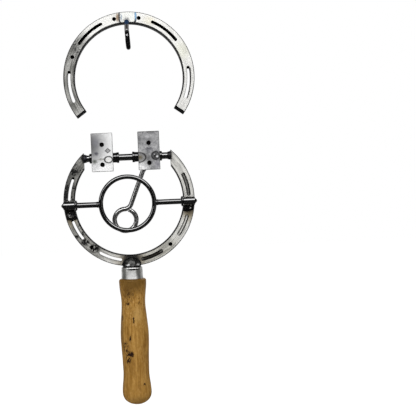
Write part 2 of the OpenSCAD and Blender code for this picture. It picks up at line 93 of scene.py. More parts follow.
def add_rod(radius, start, end, sides=48):
    """A straight rod between two points, as a start for a piece or as a cutter."""
    deselect_all()
    run = end - start
    bpy.ops.mesh.primitive_cylinder_add(vertices=sides, radius=radius, depth=run.length,
                                        location=(start + end) / 2,
                                        rotation=run.to_track_quat("Z", "Y").to_euler())
    return set_in_mesh()


def use_modifier(piece, kind, **settings):
    select_only(piece)
    modifier = piece.modifiers.new(kind.lower(), kind)
    for setting, value in settings.items():
        setattr(modifier, setting, value)
    bpy.ops.object.modifier_apply(modifier=modifier.name)


def cut_away(piece, cutter):
    use_modifier(piece, "BOOLEAN", operation="DIFFERENCE", solver="EXACT", object=cutter)
    bpy.data.objects.remove(cutter)


def ease_edges(piece, width, segments=2, angle=35):
    use_modifier(piece, "BEVEL", width=width, segments=segments, limit_method="ANGLE",
                 angle_limit=math.radians(angle), harden_normals=False)


def close_up(piece, name, angle=35):
    """Merges doubles, turns the faces outwards, smooths the round faces and names the piece."""
    select_only(piece)
    start_edit()
    bpy.ops.mesh.remove_doubles(threshold=merge_gap)
    bpy.ops.mesh.normals_make_consistent(inside=False)
    end_edit()
    set_in_mesh()
    bpy.ops.object.shade_smooth_by_angle(angle=math.radians(angle))
    piece.name = name
    piece.data.name = name
    return piece


def drill(piece, at, radius, y_low, y_high):
    """A hole drilled from both faces, with a black skin left half-way: a dark sheet that stands in for the
    shade down the hole.
    """
    half = (y_low + y_high) / 2
    for start, end in ((y_low - MM, half - shade_skin), (half + shade_skin, y_high + MM)):
        cut_away(piece, add_rod(radius, Vector((at.x, start, at.z)), Vector((at.x, end, at.z)), 32))


def grey(level):
    return (level, level, level)


def on_face(x, z):
    """A point of the wall side, in millimetres across and up."""
    return Vector((x * MM, 0, z * MM))


def face_reach(half_w, half_h):
    """Half sizes of a mark on the wall side; it goes right through the steel."""
    return (half_w * MM, deep, half_h * MM)


def new_finish(name, metallic, roughness, specular=0.5):
    """A new material, with its shader and the coordinates of the piece that wears it."""
    finish = bpy.data.materials.new(name)
    finish.use_nodes = True
    shader = finish.node_tree.nodes["Principled BSDF"]
    shader.inputs["Metallic"].default_value = metallic
    shader.inputs["Roughness"].default_value = roughness
    shader.inputs["Specular IOR Level"].default_value = specular
    return finish, shader, add_node(shader, "ShaderNodeTexCoord").outputs["Object"]


def feed(socket, value):
    """Links an output into a socket, or sets a plain value there."""
    if isinstance(value, bpy.types.NodeSocket):
        socket.id_data.links.new(value, socket)
    else:
        socket.default_value = value


def add_node(near, kind, settings=None, **inputs):
    """A new node in the tree of a given node or socket."""
    made = near.id_data.nodes.new(kind)
    for setting, value in (settings or {}).items():
        setattr(made, setting, value)
    for name, value in inputs.items():
        feed(made.inputs[name.replace("_", " ")], value)
    return made


def noise(place, size, detail=4.0, stretch=(1, 1, 1), rough=0.55):
    """Noise whose blotches are about one size across, drawn out along the stretched directions."""
    scale = [1 / (size * s) for s in stretch]
    spread = add_node(place, "ShaderNodeMapping", Vector=place, Scale=scale)
    return add_node(place, "ShaderNodeTexNoise", Vector=spread.outputs[0], Scale=1.0, Detail=detail,
                    Roughness=rough).outputs["Fac"]


def levels(value, low, high, out_low=0.0, out_high=1.0):
    return add_node(value, "ShaderNodeMapRange", {"interpolation_type": "SMOOTHSTEP"}, Value=value,
                    From_Min=low, From_Max=high, To_Min=out_low, To_Max=out_high).outputs[0]


def calc(operation, a, b=0.0):
    made = add_node(a, "ShaderNodeMath", {"operation": operation})
    feed(made.inputs[0], a)
    feed(made.inputs[1], b)
    return made.outputs[0]


def times(a, b):
    return calc("MULTIPLY", a, b)


def vector_calc(operation, *values):
    made = add_node(values[0], "ShaderNodeVectorMath", {"operation": operation})
    for socket, value in zip(made.inputs, values):
        feed(socket, value)
    return made.outputs


def axis_of(place, axis):
    return add_node(place, "ShaderNodeSeparateXYZ", Vector=place).outputs[axis]


def over(under, colour, share, blend="MIX"):
    """Lays a colour over another one by a share."""
    mix = add_node(share, "ShaderNodeMix", {"data_type": "RGBA", "blend_type": blend})
    feed(mix.inputs[0], share)
    for index, value in ((6, under), (7, colour)):
        feed(mix.inputs[index], value if isinstance(value, bpy.types.NodeSocket) else (*value, 1))
    return mix.outputs[2]


def scaled_to(place, centre, reach):
    """Coordinates that are 0 at a point and 1 at its reach, the three half sizes."""
    shift = [-c / r for c, r in zip(centre, reach)]
    return add_node(place, "ShaderNodeMapping", Vector=place, Location=shift,
                    Scale=[1 / r for r in reach]).outputs[0]


def spot(place, centre, reach, edge=0.4, ragged=0.0, square=False):
    """A share that is 1 near a point and fades out at its reach; a square one has corners."""
    if ragged:
        wander = add_node(place, "ShaderNodeTexNoise", Vector=place, Scale=700.0, Detail=3.0)
        pull = vector_calc("MULTIPLY_ADD", wander.outputs["Color"], grey(ragged), grey(-ragged / 2))[0]
        place = vector_calc("ADD", place, pull)[0]
    near = scaled_to(place, centre, reach)
    if square:
        near = vector_calc("MULTIPLY", near, near)[0]
    far = vector_calc("LENGTH", near)["Value"]
    if square:
        far = calc("SQRT", far)
    return levels(far, edge, 1.0, 1.0, 0.0)


def outline_mark(place, centre, reach, line, square=False):
    """A share that is 1 on a closed line round a point: an ellipse, or a diamond where it is square."""
    near = scaled_to(place, centre, reach)
    if square:
        far = vector_calc("DOT_PRODUCT", vector_calc("ABSOLUTE", near)[0], grey(1))["Value"]
    else:
        far = vector_calc("LENGTH", near)["Value"]
    return times(levels(far, 1 - line, 1), levels(far, 1, 1 + line, 1.0, 0.0))


def coat(shader, colour, roughness, height, deepest, strength):
    """Gives the shader its colour, its roughness and its bumps."""
    feed(shader.inputs["Base Color"], colour)
    feed(shader.inputs["Roughness"], roughness)
    bump = add_node(shader, "ShaderNodeBump", Height=height, Distance=deepest, Strength=strength)
    feed(shader.inputs["Normal"], bump.outputs[0])


def plate_finish(name, dull, bright, grain, mottle, casts, outlines):
    """Zinc-grey steel, clouded from dull to bright, with casts of colour, some of them painted shade and
    highlights, and the outlines of heat marks.
    """
    finish, shader, place = new_finish(name, 0.2, 0.4)
    cloud = noise(place, 9 * MM, 3.0)
    fine = noise(place, grain, 6.0, rough=0.7)
    colour = over(dull, bright, levels(calc("ADD", cloud, times(fine, 0.5)), 0.5, 1.0))
    for x, z, half_w, half_h, tint, strength, ragged in casts:
        mark = spot(place, on_face(x, z), face_reach(half_w, half_h), 0.1, ragged * MM)
        colour = over(colour, tint, times(mark, strength))
    stain = levels(noise(place, 2.6 * MM, 5.0, rough=0.65), 0.42, 0.6, 0.0, mottle)
    colour = over(colour, (0.55, 0.55, 0.57), stain, "MULTIPLY")
    height = times(fine, 0.2)
    for x, z, half_w, half_h, line, tint, square in outlines:
        mark = outline_mark(place, on_face(x, z), face_reach(half_w, half_h), line, square)
        colour = over(colour, tint, mark)
        height = calc("SUBTRACT", height, mark)
    coat(shader, colour, levels(fine, 0.2, 0.8, 0.32, 0.5), height, 0.1 * MM, 0.6)
    return finish


def scale_finish(name, dark, light):
    """Dark steel that flakes to grey: black scale, a sawn edge, and the painted shade of holes."""
    finish, shader, place = new_finish(name, 0.0, 0.6, 0.05)
    flake = noise(place, 1.8 * MM, 6.0, rough=0.7)
    colour = over(dark, light, levels(flake, 0.55, 0.75))
    coat(shader, colour, levels(flake, 0.3, 0.7, 0.36, 0.62), flake, 0.15 * MM, 0.7)
    return finish


merge_gap = 0.002 * MM
screw_hole_r = 2.0 * MM
screw_hole_z = 9.9 * MM
plate_edge = 0.35 * MM
plate_mid = 23.2 * MM
shade_skin = 0.15 * MM
deep = 30 * MM
left_casts = [
    (-37, 10, 27, 31, (0.08, 0.08, 0.085), 0.95, 0),
    (-22, -16, 10, 6, grey(0.98), 0.9, 0),
    (-29, 12, 5, 8, (0.2, 0.2, 0.23), 0.5, 3),
    (-29, 1.2, 3.4, 2.8, (0.06, 0.06, 0.08), 0.9, 3),
    (-31, -6.6, 4, 3.2, (0.07, 0.08, 0.06), 0.9, 3),
    (-24.5, -4.5, 5, 1.6, (0.2, 0.2, 0.17), 0.8, 4),
    (-17.5, 3.7, 2.4, 2.2, grey(0.2), 0.8, 2),
    (-17.0, -5.2, 3.6, 2.9, (0.86, 0.85, 0.82), 0.9, 1),
]
left_outlines = [
    (-17.0, -5.2, 3.9, 3.1, 0.36, (0.006, 0.006, 0.005), False),
    (-17.5, 3.7, 2.4, 2.1, 0.5, grey(0.02), True),
]
right_casts = [
    (22, 16, 5, 4, (0.5, 0.5, 0.51), 0.8, 5),
    # Painted shadow: a black line along the top edge.
    (23, 21.6, 15, 1.8, grey(0.02), 1.0, 4),
    (16, -14.5, 10, 9, grey(0.95), 1.0, 3),
    (31, -12, 4, 6, (0.3, 0.29, 0.33), 0.7, 3),
    (23, 3.8, 6.5, 2.6, (0.13, 0.13, 0.15), 0.9, 6),
    (13.5, -4.3, 6, 4.6, (0.14, 0.12, 0.07), 0.95, 2),
    (22.5, -5, 3, 6, grey(0.16), 0.6, 3),
    (29.6, -3.1, 6.4, 6.4, grey(0.015), 1.0, 2),
    # Painted highlights: two glints on the dark weld puddle.
    (31.2, -3.8, 1.9, 1.6, grey(0.9), 1.0, 2),
    (28.6, -1.6, 1.2, 0.9, grey(0.7), 0.9, 2),
]
right_outlines = [
    (12.6, -4.3, 7.2, 4.8, 0.24, (0.012, 0.01, 0.007), False),
    (29.6, -3.1, 3.7, 3.8, 0.36, grey(0.01), False),
]
# Painted shade: near-black for hole walls and the skins left in them.
hole_shade_black = scale_finish("hole_shade_black", grey(0.003), grey(0.007))
sawn_edge = scale_finish("sawn_edge", grey(0.04), grey(0.2))
plate_looks = {
    "left_wall_plate": plate_finish("left_plate_zinc", grey(0.8), grey(0.93), 1.6 * MM, 0.12,
                                    left_casts, left_outlines),
    "right_wall_plate": plate_finish("right_plate_zinc", (0.22, 0.22, 0.225), (0.46, 0.46, 0.465),
                                     1.1 * MM, 0.75, right_casts, right_outlines),
}
for plate_node, plate_look in plate_looks.items():
    low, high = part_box(plate_node)
    mid_x = (low.x + high.x) / 2
    plate = add_block(low, high)
    for hole_z in (-screw_hole_z, screw_hole_z):
        drill(plate, Vector((mid_x, 0, hole_z)), screw_hole_r, low.y, high.y)
    ease_edges(plate, plate_edge)
    close_up(plate, plate_node.replace("wall_plate", "plate_bar"), 20)
    for finish in (plate_look, hole_shade_black, sawn_edge):
        plate.data.materials.append(finish)
    for face in plate.data.polygons:
        from_hole = Vector((face.center.x - mid_x, abs(face.center.z) - screw_hole_z))
        if from_hole.length < screw_hole_r:
            face.material_index = 1
        elif abs(face.normal.y) < 0.95:
            face.material_index = 2
    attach(plate, "wall_mount")
    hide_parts(plate_node)


# Hinge sleeves: two lengths of black pipe on the room side of the plates, in which the axle turns.
# Their inner ends are swollen by the cutter, as a short bead round the mouth.
def draw_out(by):
    bpy.ops.mesh.extrude_edges_move(TRANSFORM_OT_translate={"value": by})


def turn_along(axis, centre, stations, sides=48):
    """A turned piece: a circle carried along an axis, station by station, each a distance and a radius."""
    deselect_all()
    here = stations[0]
    bpy.ops.mesh.primitive_circle_add(vertices=sides, radius=here[1], fill_type="NOTHING",
                                      location=centre + axis * here[0],
                                      rotation=axis.to_track_quat("Z", "Y").to_euler())
    start_edit()
    for station in stations[1:]:
        draw_out(axis * (station[0] - here[0]))
        grow = station[1] / here[1]
        bpy.ops.transform.resize(value=(grow, grow, grow), center_override=centre + axis * station[0])
        here = station
    end_edit()
    return set_in_mesh()


def cap_ends(piece):
    """Closes the open rims of a piece."""
    select_only(piece)
    start_edit()
    bpy.ops.mesh.remove_doubles(threshold=merge_gap)
    bpy.ops.mesh.select_all(action="DESELECT")
    bpy.ops.mesh.select_mode(type="EDGE")
    bpy.ops.mesh.select_non_manifold(extend=False, use_wire=True, use_boundary=True, use_multi_face=False,
                                     use_non_contiguous=False, use_verts=False)
    bpy.ops.mesh.fill_holes(sides=0)
    end_edit()


def black_finish(name, wear, ior):
    """Gloss black over rod or pipe, a little uneven, with bare metal where it is rubbed."""
    finish, shader, place = new_finish(name, 0.0, 0.14, 1.0)
    shader.inputs["IOR"].default_value = ior
    blotch = noise(place, 3 * MM, 5.0)
    rubbed = levels(noise(place, 1.2 * MM, 6.0, rough=0.7), 0.66, 0.78)
    colour = over(grey(0.002), grey(0.006), blotch)
    colour = over(colour, (0.12, 0.115, 0.11), times(rubbed, wear))
    coat(shader, colour, levels(blotch, 0.3, 0.7, 0.03, 0.1), noise(place, 1.6 * MM, 2.0), 0.02 * MM, 0.4)
    return finish


LEFT = -1
RIGHT = 1
along_x = Vector((1, 0, 0))
axle_at = Vector((1.5, 10.1, -2.7)) * MM
sleeve_bore_r = 3.48 * MM
sleeve_r = 5.0 * MM
bead_r = 5.5 * MM
bead_len = 2.6 * MM
step_len = 1.6 * MM
lip = 0.4 * MM
pipe_black = black_finish("pipe_black", 0.35, 1.6)
for side, sleeve_node in ((LEFT, "left_hinge_sleeve"), (RIGHT, "right_hinge_sleeve")):
    low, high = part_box(sleeve_node)
    inner, outer = sorted((abs(low.x), abs(high.x)))
    bead_end = inner + bead_len
    outline = [(inner, sleeve_bore_r), (inner, bead_r - lip), (inner + lip, bead_r),
               (bead_end - lip, bead_r), (bead_end, bead_r - lip), (bead_end + step_len, sleeve_r),
               (outer - lip, sleeve_r), (outer, sleeve_r - lip), (outer, sleeve_bore_r),
               (inner, sleeve_bore_r)]
    sleeve = turn_along(along_x * side, Vector((0, axle_at.y, axle_at.z)), outline)
    close_up(sleeve, sleeve_node.replace("hinge_sleeve", "hinge_pipe"))
    sleeve.data.materials.append(pipe_black)
    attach(sleeve, "wall_mount")
    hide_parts(sleeve_node)


# Sleeve welds: two rows of arc weld between each pipe and its plate, laid as overlapping pools.
# They are left as they cooled, dark with a blue cast, and hold the pipe to the plate.
def join_all(pieces):
    for piece in pieces:
        piece.select_set(True)
    bpy.context.view_layer.objects.active = pieces[0]
    if len(pieces) > 1:
        bpy.ops.object.join()
    return bpy.context.object


def weld_row(pools, name, voxel=0.35 * MM, lumps=0.35 * MM):
    """Weld metal: pools, each a centre and three half sizes, melted into one lumpy body."""
    made = []
    for centre, reach in pools:
        deselect_all()
        bpy.ops.mesh.primitive_ico_sphere_add(subdivisions=3, radius=1, location=centre)
        bpy.ops.transform.resize(value=reach)
        made.append(set_in_mesh())
    weld = join_all(made)
    use_modifier(weld, "REMESH", mode="VOXEL", voxel_size=voxel)
    clouds = bpy.data.textures.get("weld_clouds") or bpy.data.textures.new("weld_clouds", "CLOUDS")
    clouds.noise_scale = 1.6 * MM
    use_modifier(weld, "DISPLACE", texture=clouds, texture_coords="LOCAL", strength=lumps, mid_level=0.5)
    use_modifier(weld, "SMOOTH", factor=0.5, iterations=3)
    return close_up(weld, name, 80)


def weld_finish(name, dark, light, heat):
    """Weld metal as it cooled: dark scale with bright spatter and a cast of heat colour."""
    finish, shader, place = new_finish(name, 0.6, 0.35)
    lump = noise(place, 1.4 * MM, 5.0, rough=0.65)
    colour = over(dark, light, levels(lump, 0.5, 0.72))
    colour = over(colour, heat, levels(noise(place, 4 * MM, 2.0), 0.5, 0.66, 0.0, 0.6))
    coat(shader, colour, levels(lump, 0.3, 0.7, 0.22, 0.5), lump, 0.25 * MM, 0.8)
    return finish


weld_scale = weld_finish("weld_scale", (0.015, 0.014, 0.015), (0.1, 0.095, 0.09), (0.02, 0.022, 0.035))
pool_pitch = 2.4 * MM
pool_count = 6
row_len = 14.9 * MM
fillet_y = 6.1 * MM
fillet_off = 3.5 * MM
fillet_pool = (1.9 * MM, 1.5 * MM, 1.35 * MM)
for side, weld_node in ((LEFT, "left_sleeve_weld"), (RIGHT, "right_sleeve_weld")):
    pools = []
    for row in (-1, 1):
        for step in range(pool_count):
            along = side * plate_mid - row_len / 2 + pool_pitch * (step + 0.6)
            pools.append((Vector((along, fillet_y, axle_at.z + row * fillet_off)), fillet_pool))
    rows = weld_row(pools, weld_node.replace("weld", "weld_pools"))
    rows.data.materials.append(weld_scale)
    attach(rows, "wall_mount")
    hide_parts(weld_node)


# Axle: one black rod across both pipes, welded into the lever's heels so that it turns with the lever.
# The welds at its ends are drawn out along the rod as tapered collars.
axle_half = 43.8 * MM
axle_r = 3.4 * MM
axle_end_r = 0.6 * axle_r
axle_mid = 3 * MM
outline = [(-axle_half, axle_end_r), (-axle_half, axle_r - lip), (-axle_half + lip, axle_r),
           (-axle_mid, axle_r), (axle_mid, axle_r),
           (axle_half - lip, axle_r), (axle_half, axle_r - lip), (axle_half, axle_end_r)]
axle = turn_along(along_x, axle_at, outline)
cap_ends(axle)
close_up(axle, "axle_rod")
axle_black = black_finish("axle_black", 0.5, 2.0)
axle.data.materials.append(axle_black)
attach(axle, "lever")
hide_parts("axle")

pools = []
for side in (LEFT, RIGHT):
    for reach_in, thick in ((0.4, 4.6), (1.6, 4.3), (2.9, 3.9)):
        pool_at = axle_at + along_x * side * (axle_half - reach_in * MM)
        pools.append((pool_at, (1.5 * MM, thick * MM, thick * MM)))
heel_welds = weld_row(pools, "heel_weld_collars", 0.3 * MM, 0.4 * MM)
heel_welds.data.materials.append(weld_scale)
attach(heel_welds, "lever")
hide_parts("axle_welds")


# Lever shoe: a flat forged ring of steel, toe down, its heels cut off straight where the axle is welded in.
# The wall face is brushed along the arc; rims and slots keep black scale, painted shade darkens the face
# along the rims and slot edges, and the left branch is pitted.
# The right branch's slots are filled with dirt almost to the face.
def sweep_section(centre, middle_r, width, y_low, y_high, first, last, toe, corner=0.0, steps=160):
    """A section carried round a centre, between two angles from the toe that grow to the right."""
    start = math.radians(90 - first) * toe
    deselect_all()
    bpy.ops.mesh.primitive_plane_add(size=1, location=(0, 0, 0))
    piece = bpy.context.object
    piece.scale = (width, y_high - y_low, 1)
    piece.rotation_euler = (0, -start, 0)
    piece.location = (centre.x + middle_r * math.cos(start), (y_low + y_high) / 2,
                      centre.z + middle_r * math.sin(start))
    set_in_mesh()
    start_edit()
    if corner:
        bpy.ops.mesh.bevel(offset=corner, offset_type="OFFSET", segments=3, affect="VERTICES")
    bpy.ops.mesh.delete(type="ONLY_FACE")
    bpy.ops.mesh.select_all(action="SELECT")
    bpy.ops.mesh.spin(steps=steps, angle=math.radians(last - first), center=centre, axis=(0, -toe, 0))
    end_edit()
    cap_ends(piece)
    start_edit()
    bpy.ops.mesh.normals_make_consistent(inside=False)
    end_edit()
    return piece


def from_toe(centre, radius, angle, side, toe):
    """A point on the shoe's face, at an angle from the toe to the left (-1) or right (1)."""
    a = math.radians(angle)
    return Vector((centre.x + side * radius * math.sin(a), 0, centre.z + toe * radius * math.cos(a)))


def cut_slots(shoe, centre, mid_r, toe, y_low, y_high, slots, drilled):
    """Arc slots, each two angles, a side and its depth from the wall face, and drilled holes."""
    face_y = Vector((0, y_low - MM, 0))
    for first, last, side, depth in slots:
        floor_y = Vector((0, y_low + depth, 0))
        cut_away(shoe, sweep_section(centre, mid_r, slot_w, face_y.y, floor_y.y, side * first, side * last,
                                     toe, steps=24))
        for angle in (first, last):
            end = from_toe(centre, mid_r, angle, side, toe)
            cut_away(shoe, add_rod(slot_end_r, end + face_y, end + floor_y, 40))
    for angle, side, radius in drilled:
        drill(shoe, from_toe(centre, mid_r, angle, side, toe), radius, y_low, y_high)


def dark_rims(shoe, rim_finish, floor_finish, y_low, y_high):
    """Gives rims and slot walls the look of unground steel, slot floors their own, and hole skins black as
    painted shade.
    """
    for finish in (rim_finish, floor_finish, hole_shade_black):
        shoe.data.materials.append(finish)
    half = (y_low + y_high) / 2
    for face in shoe.data.polygons:
        if abs(face.normal.y) < 0.98:
            face.material_index = 1
        elif abs(face.center.y - half) < 2 * shade_skin:
            face.material_index = 3
        elif y_low + MM < face.center.y < y_high - MM:
            face.material_index = 2


def from_centre(place, centre):
    """Where a point lies from a shoe's centre, as three numbers."""
    moved = add_node(place, "ShaderNodeMapping", Vector=place, Location=[-c for c in centre])
    return add_node(place, "ShaderNodeSeparateXYZ", Vector=moved.outputs[0]).outputs


def round_place(place, centre):
    """Coordinates round a shoe: distance from its centre, length along its middle arc, and depth."""
    parts = from_centre(place, centre)
    flat = add_node(place, "ShaderNodeCombineXYZ", X=parts["X"], Z=parts["Z"]).outputs[0]
    out = vector_calc("LENGTH", flat)["Value"]
    turn = times(calc("ARCTAN2", parts["Z"], parts["X"]), slot_r)
    return add_node(place, "ShaderNodeCombineXYZ", X=out, Y=turn, Z=parts["Y"]).outputs[0]


def shoe_finish(name, centre, toe, dull, bright, shades, marks, pits, rims, lines):
    """Ground steel, streaked round the arc, with shades, marks, black pits, and painted shade along the
    rims and beside the slots.
    """
    finish, shader, place = new_finish(name, 0.2, 0.38)
    ringwise = round_place(place, centre)
    streak = noise(ringwise, 0.9 * MM, 5.0, (1, 22, 1), 0.6)
    cloud = noise(place, 7 * MM, 4.0)
    share = calc("ADD", times(streak, 0.7), times(cloud, 0.3))
    colour = over(dull, bright, levels(share, 0.4, 0.6))
    uneven = levels(noise(ringwise, 1.5 * MM, 4.0, (1, 14, 1), 0.6), 0.4, 0.62, 1.0, 0.6)
    for shade_at, half_w, half_h, tint, strength, edge, ragged in shades:
        mark = times(spot(place, shade_at, face_reach(half_w, half_h), edge, ragged * MM), strength)
        colour = over(colour, tint, times(mark, uneven), "MULTIPLY")
    for mark_at, half_w, half_h, tint, strength, edge, ragged, *corners in marks:
        mark = spot(place, mark_at, face_reach(half_w, half_h), edge, ragged * MM, bool(corners))
        colour = over(colour, tint, times(mark, strength))
    hollow = noise(place, 2.1 * MM, 4.0, rough=0.6)
    pitted = 0.0
    for pit_at, half_w, half_h, low, high in pits:
        there = spot(place, pit_at, face_reach(half_w, half_h), 0.6)
        pitted = calc("MAXIMUM", times(levels(hollow, low, high), there), pitted)
    colour = over(colour, grey(0.005), pitted)
    out = axis_of(ringwise, "X")
    # Painted shade: black bands along the inner and outer rims of the face.
    for rim_from, rim_to, share in rims:
        colour = over(colour, line_black, levels(out, rim_from, rim_to, 0.0, share))
    parts = from_centre(place, centre)
    turn = calc("ARCTAN2", parts["X"], times(parts["Z"], toe))
    # Painted shade: black lines on the face along the edges of slots.
    for first, last, line_r, line_w, share in lines:
        begun = levels(turn, math.radians(first - 1), math.radians(first), 0.0, share)
        along = times(begun, levels(turn, math.radians(last), math.radians(last + 1), 1.0, 0.0))
        off = calc("ABSOLUTE", calc("SUBTRACT", out, line_r))
        colour = over(colour, line_black, times(along, levels(off, 0.6 * line_w, line_w, 1.0, 0.0)))
    height = calc("SUBTRACT", times(streak, 0.12), pitted)
    coat(shader, colour, levels(streak, 0.3, 0.7, 0.28, 0.46), height, 0.12 * MM, 0.6)
    return finish


def slot_finish(name, centre, mid_r, tints):
    """Slot floors: black along the walls as painted shade, and a middle with a tint of its own near each
    given point.
    """
    finish, shader, place = new_finish(name, 0.0, 0.6, 0.1)
    grit = noise(place, 1.2 * MM, 4.0)
    colour = over((0.1, 0.1, 0.095), (0.24, 0.235, 0.22), levels(grit, 0.35, 0.65))
    for tint_at, reach, tint in tints:
        colour = over(colour, tint, spot(place, tint_at, face_reach(reach, reach), 0.7))
    # Painted shade: the floor turns black towards the slot walls.
    off = calc("ABSOLUTE", calc("SUBTRACT", axis_of(round_place(place, centre), "X"), mid_r))
    colour = over(colour, grey(0.003), levels(off, 0.5 * MM, 0.9 * MM))
    coat(shader, colour, 0.6, grit, 0.1 * MM, 0.6)
    return finish


TOE_DOWN = -1
TOE_UP = 1
shoe_r = 66 * MM
web_w = 11.3 * MM
shoe_in_r = shoe_r - web_w
slot_r = shoe_r - web_w / 2
slot_w = 3 * MM
slot_end_r = 1.55 * MM
slot_deep = 5.5 * MM
filled_deep = 1.6 * MM
nail_r = 2 * MM
shoe_corner = 0.7 * MM
cut_edge = 0.3 * MM
lever_low, lever_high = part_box("lever_shoe")
lever_centre = Vector((1.5 * MM, 0, -46.172 * MM))
heel_end = 142
shoe = sweep_section(lever_centre, slot_r, web_w, lever_low.y, lever_high.y, -heel_end, heel_end, TOE_DOWN,
                     shoe_corner)
cut_away(shoe, add_block(lever_centre + Vector((-axle_half, 0, 0)),
                         lever_centre + Vector((axle_half, lever_high.y + MM, shoe_r + MM))))
through = lever_high.y - lever_low.y + MM
lever_slots = [(10.5, 30.5, LEFT, through), (53.5, 70.6, LEFT, through), (93.5, 111.6, LEFT, through),
               (10.5, 30.5, RIGHT, filled_deep), (53.5, 72.5, RIGHT, filled_deep),
               (93.5, 113.5, RIGHT, filled_deep)]
lever_holes = [(41, LEFT, nail_r), (41, RIGHT, nail_r), (72.5, LEFT, slot_end_r), (113.5, LEFT, slot_end_r)]
cut_slots(shoe, lever_centre, slot_r, TOE_DOWN, lever_low.y, lever_high.y, lever_slots, lever_holes)
ease_edges(shoe, cut_edge, 1, 50)
cap_ends(shoe)
close_up(shoe, "lever_ring", 12)


def on_lever(angle, radius, side):
    return from_toe(lever_centre, radius * MM, angle, side, TOE_DOWN)


scorch = (0.05, 0.035, 0.018)
# Black for weld soot, and for the painted shade at the tang's foot.
soot_and_shade = (0.01, 0.009, 0.009)
straw = (0.3, 0.25, 0.15)
# Near-black for the painted shade along the rims and slot edges.
line_black = grey(0.004)
left_bar = on_lever(82, 60.35, LEFT)
right_bar = on_lever(82, 60.35, RIGHT)
toe_at = on_lever(0, 60.35, RIGHT)
lever_shades = [
    (on_lever(90, 60.35, LEFT), 60, 90, (0.3, 0.3, 0.29), 1.0, 0.8, 3),
    (on_lever(112, 60, LEFT), 16, 30, grey(0.5), 1.0, 0.6, 4),
    (on_lever(30, 60, RIGHT), 30, 22, (0.62, 0.61, 0.56), 0.9, 0.4, 3),
]
lever_marks = [
    (left_bar + on_face(0, -7), 12, 15, straw, 0.8, 0.3, 4),
    (left_bar + on_face(-2, -5), 11, 11, scorch, 0.9, 0.3, 4),
    (left_bar, 12, 7.5, soot_and_shade, 1.0, 0.5, 3),
    (right_bar + on_face(0, -6), 12, 14, straw, 0.9, 0.3, 3),
    (right_bar + on_face(0, -4), 11, 9, scorch, 0.9, 0.3, 4),
    (right_bar + on_face(0, 1), 12, 6, soot_and_shade, 1.0, 0.5, 3),
    (toe_at, 26, 12, straw, 0.85, 0.3, 3),
    (toe_at, 19, 12, scorch, 0.9, 0.3, 4),
    (toe_at + on_face(0, 3), 14, 9, soot_and_shade, 0.95, 0.4, 3),
    (on_face(-43, -1), 3.2, 9, soot_and_shade, 0.95, 0.5, 4),
    (on_face(-48, -2.5), 6, 1.2, soot_and_shade, 0.8, 0.3, 3),
    (on_face(45, 1), 2.4, 5, soot_and_shade, 0.9, 0.4, 5),
]
lever_pits = [
    (on_lever(119.5, 62, LEFT), 6, 5, 0.4, 0.48),
    (on_lever(130, 60, LEFT), 12, 11, 0.56, 0.64),
    (on_lever(100, 64, LEFT), 5, 17, 0.38, 0.46),
    (on_lever(98, 57, LEFT), 4.5, 18, 0.48, 0.56),
    (on_lever(60, 57, LEFT), 5, 13, 0.5, 0.58),
    (on_lever(57.3, 64.5, LEFT), 3, 3, 0.42, 0.5),
    (on_lever(48.5, 61, LEFT), 6, 5.5, 0.42, 0.5),
    (on_lever(38, 59.5, LEFT), 7, 6, 0.42, 0.5),
]
# Painted shade along the lever's inner and outer rims.
lever_rims = [(shoe_in_r + 1.3 * MM, shoe_in_r + 0.8 * MM, 0.9),
              (shoe_r - 0.9 * MM, shoe_r - 0.6 * MM, 0.5)]
# Painted shade lines along both edges of each slot.
lever_line_w = 0.55 * MM
lever_lines = []
for first, last, share in ((10.5, 30.5, 0.95), (53.5, 72.5, 0.7), (93.5, 113.5, 0.95),
                           (-30.5, -10.5, 0.4), (-70.6, -53.5, 0.6), (-111.6, -93.5, 0.6)):
    for edge in (-1, 1):
        lever_lines.append((first, last, slot_r + edge * slot_end_r, lever_line_w, share))
lever_steel = shoe_finish("lever_ring_steel", lever_centre, TOE_DOWN,
                          (0.48, 0.475, 0.45), (0.78, 0.77, 0.73),
                          lever_shades, lever_marks, lever_pits, lever_rims, lever_lines)
forge_scale = scale_finish("forge_scale", grey(0.004), (0.022, 0.021, 0.02))
slot_tints = [(on_lever(62, 60.35, RIGHT), 15, (0.62, 0.61, 0.57)),
              (on_lever(20, 60.35, RIGHT), 13, (0.03, 0.026, 0.02))]
slot_floor = slot_finish("slot_floor", lever_centre, slot_r, slot_tints)
shoe.data.materials.append(lever_steel)
dark_rims(shoe, forge_scale, slot_floor, lever_low.y, lever_high.y)
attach(shoe, "lever")
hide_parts("lever_shoe")


# Bar sleeves: two short black pipes across the shoe's branches, on its wall side, with eased mouths.
# The ring's bars turn in them; weld metal below each one holds it to the shoe.
bar_at = Vector((1.5, 6.8, -49.172)) * MM
bar_sleeve_r = 4.3 * MM
bar_sleeve_bore_r = 2.88 * MM
for side, sleeve_node in ((LEFT, "left_bar_sleeve"), (RIGHT, "right_bar_sleeve")):
    low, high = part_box(sleeve_node)
    near, far = sorted((abs(low.x - bar_at.x), abs(high.x - bar_at.x)))
    outline = [(near, bar_sleeve_bore_r), (near, bar_sleeve_r - lip), (near + lip, bar_sleeve_r),
               (far - lip, bar_sleeve_r), (far, bar_sleeve_r - lip), (far, bar_sleeve_bore_r),
               (near, bar_sleeve_bore_r)]
    sleeve = turn_along(along_x * side, bar_at, outline)
    close_up(sleeve, sleeve_node.replace("bar_sleeve", "bar_pipe"))
    sleeve.data.materials.append(axle_black)
    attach(sleeve, "lever")
    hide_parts(sleeve_node)
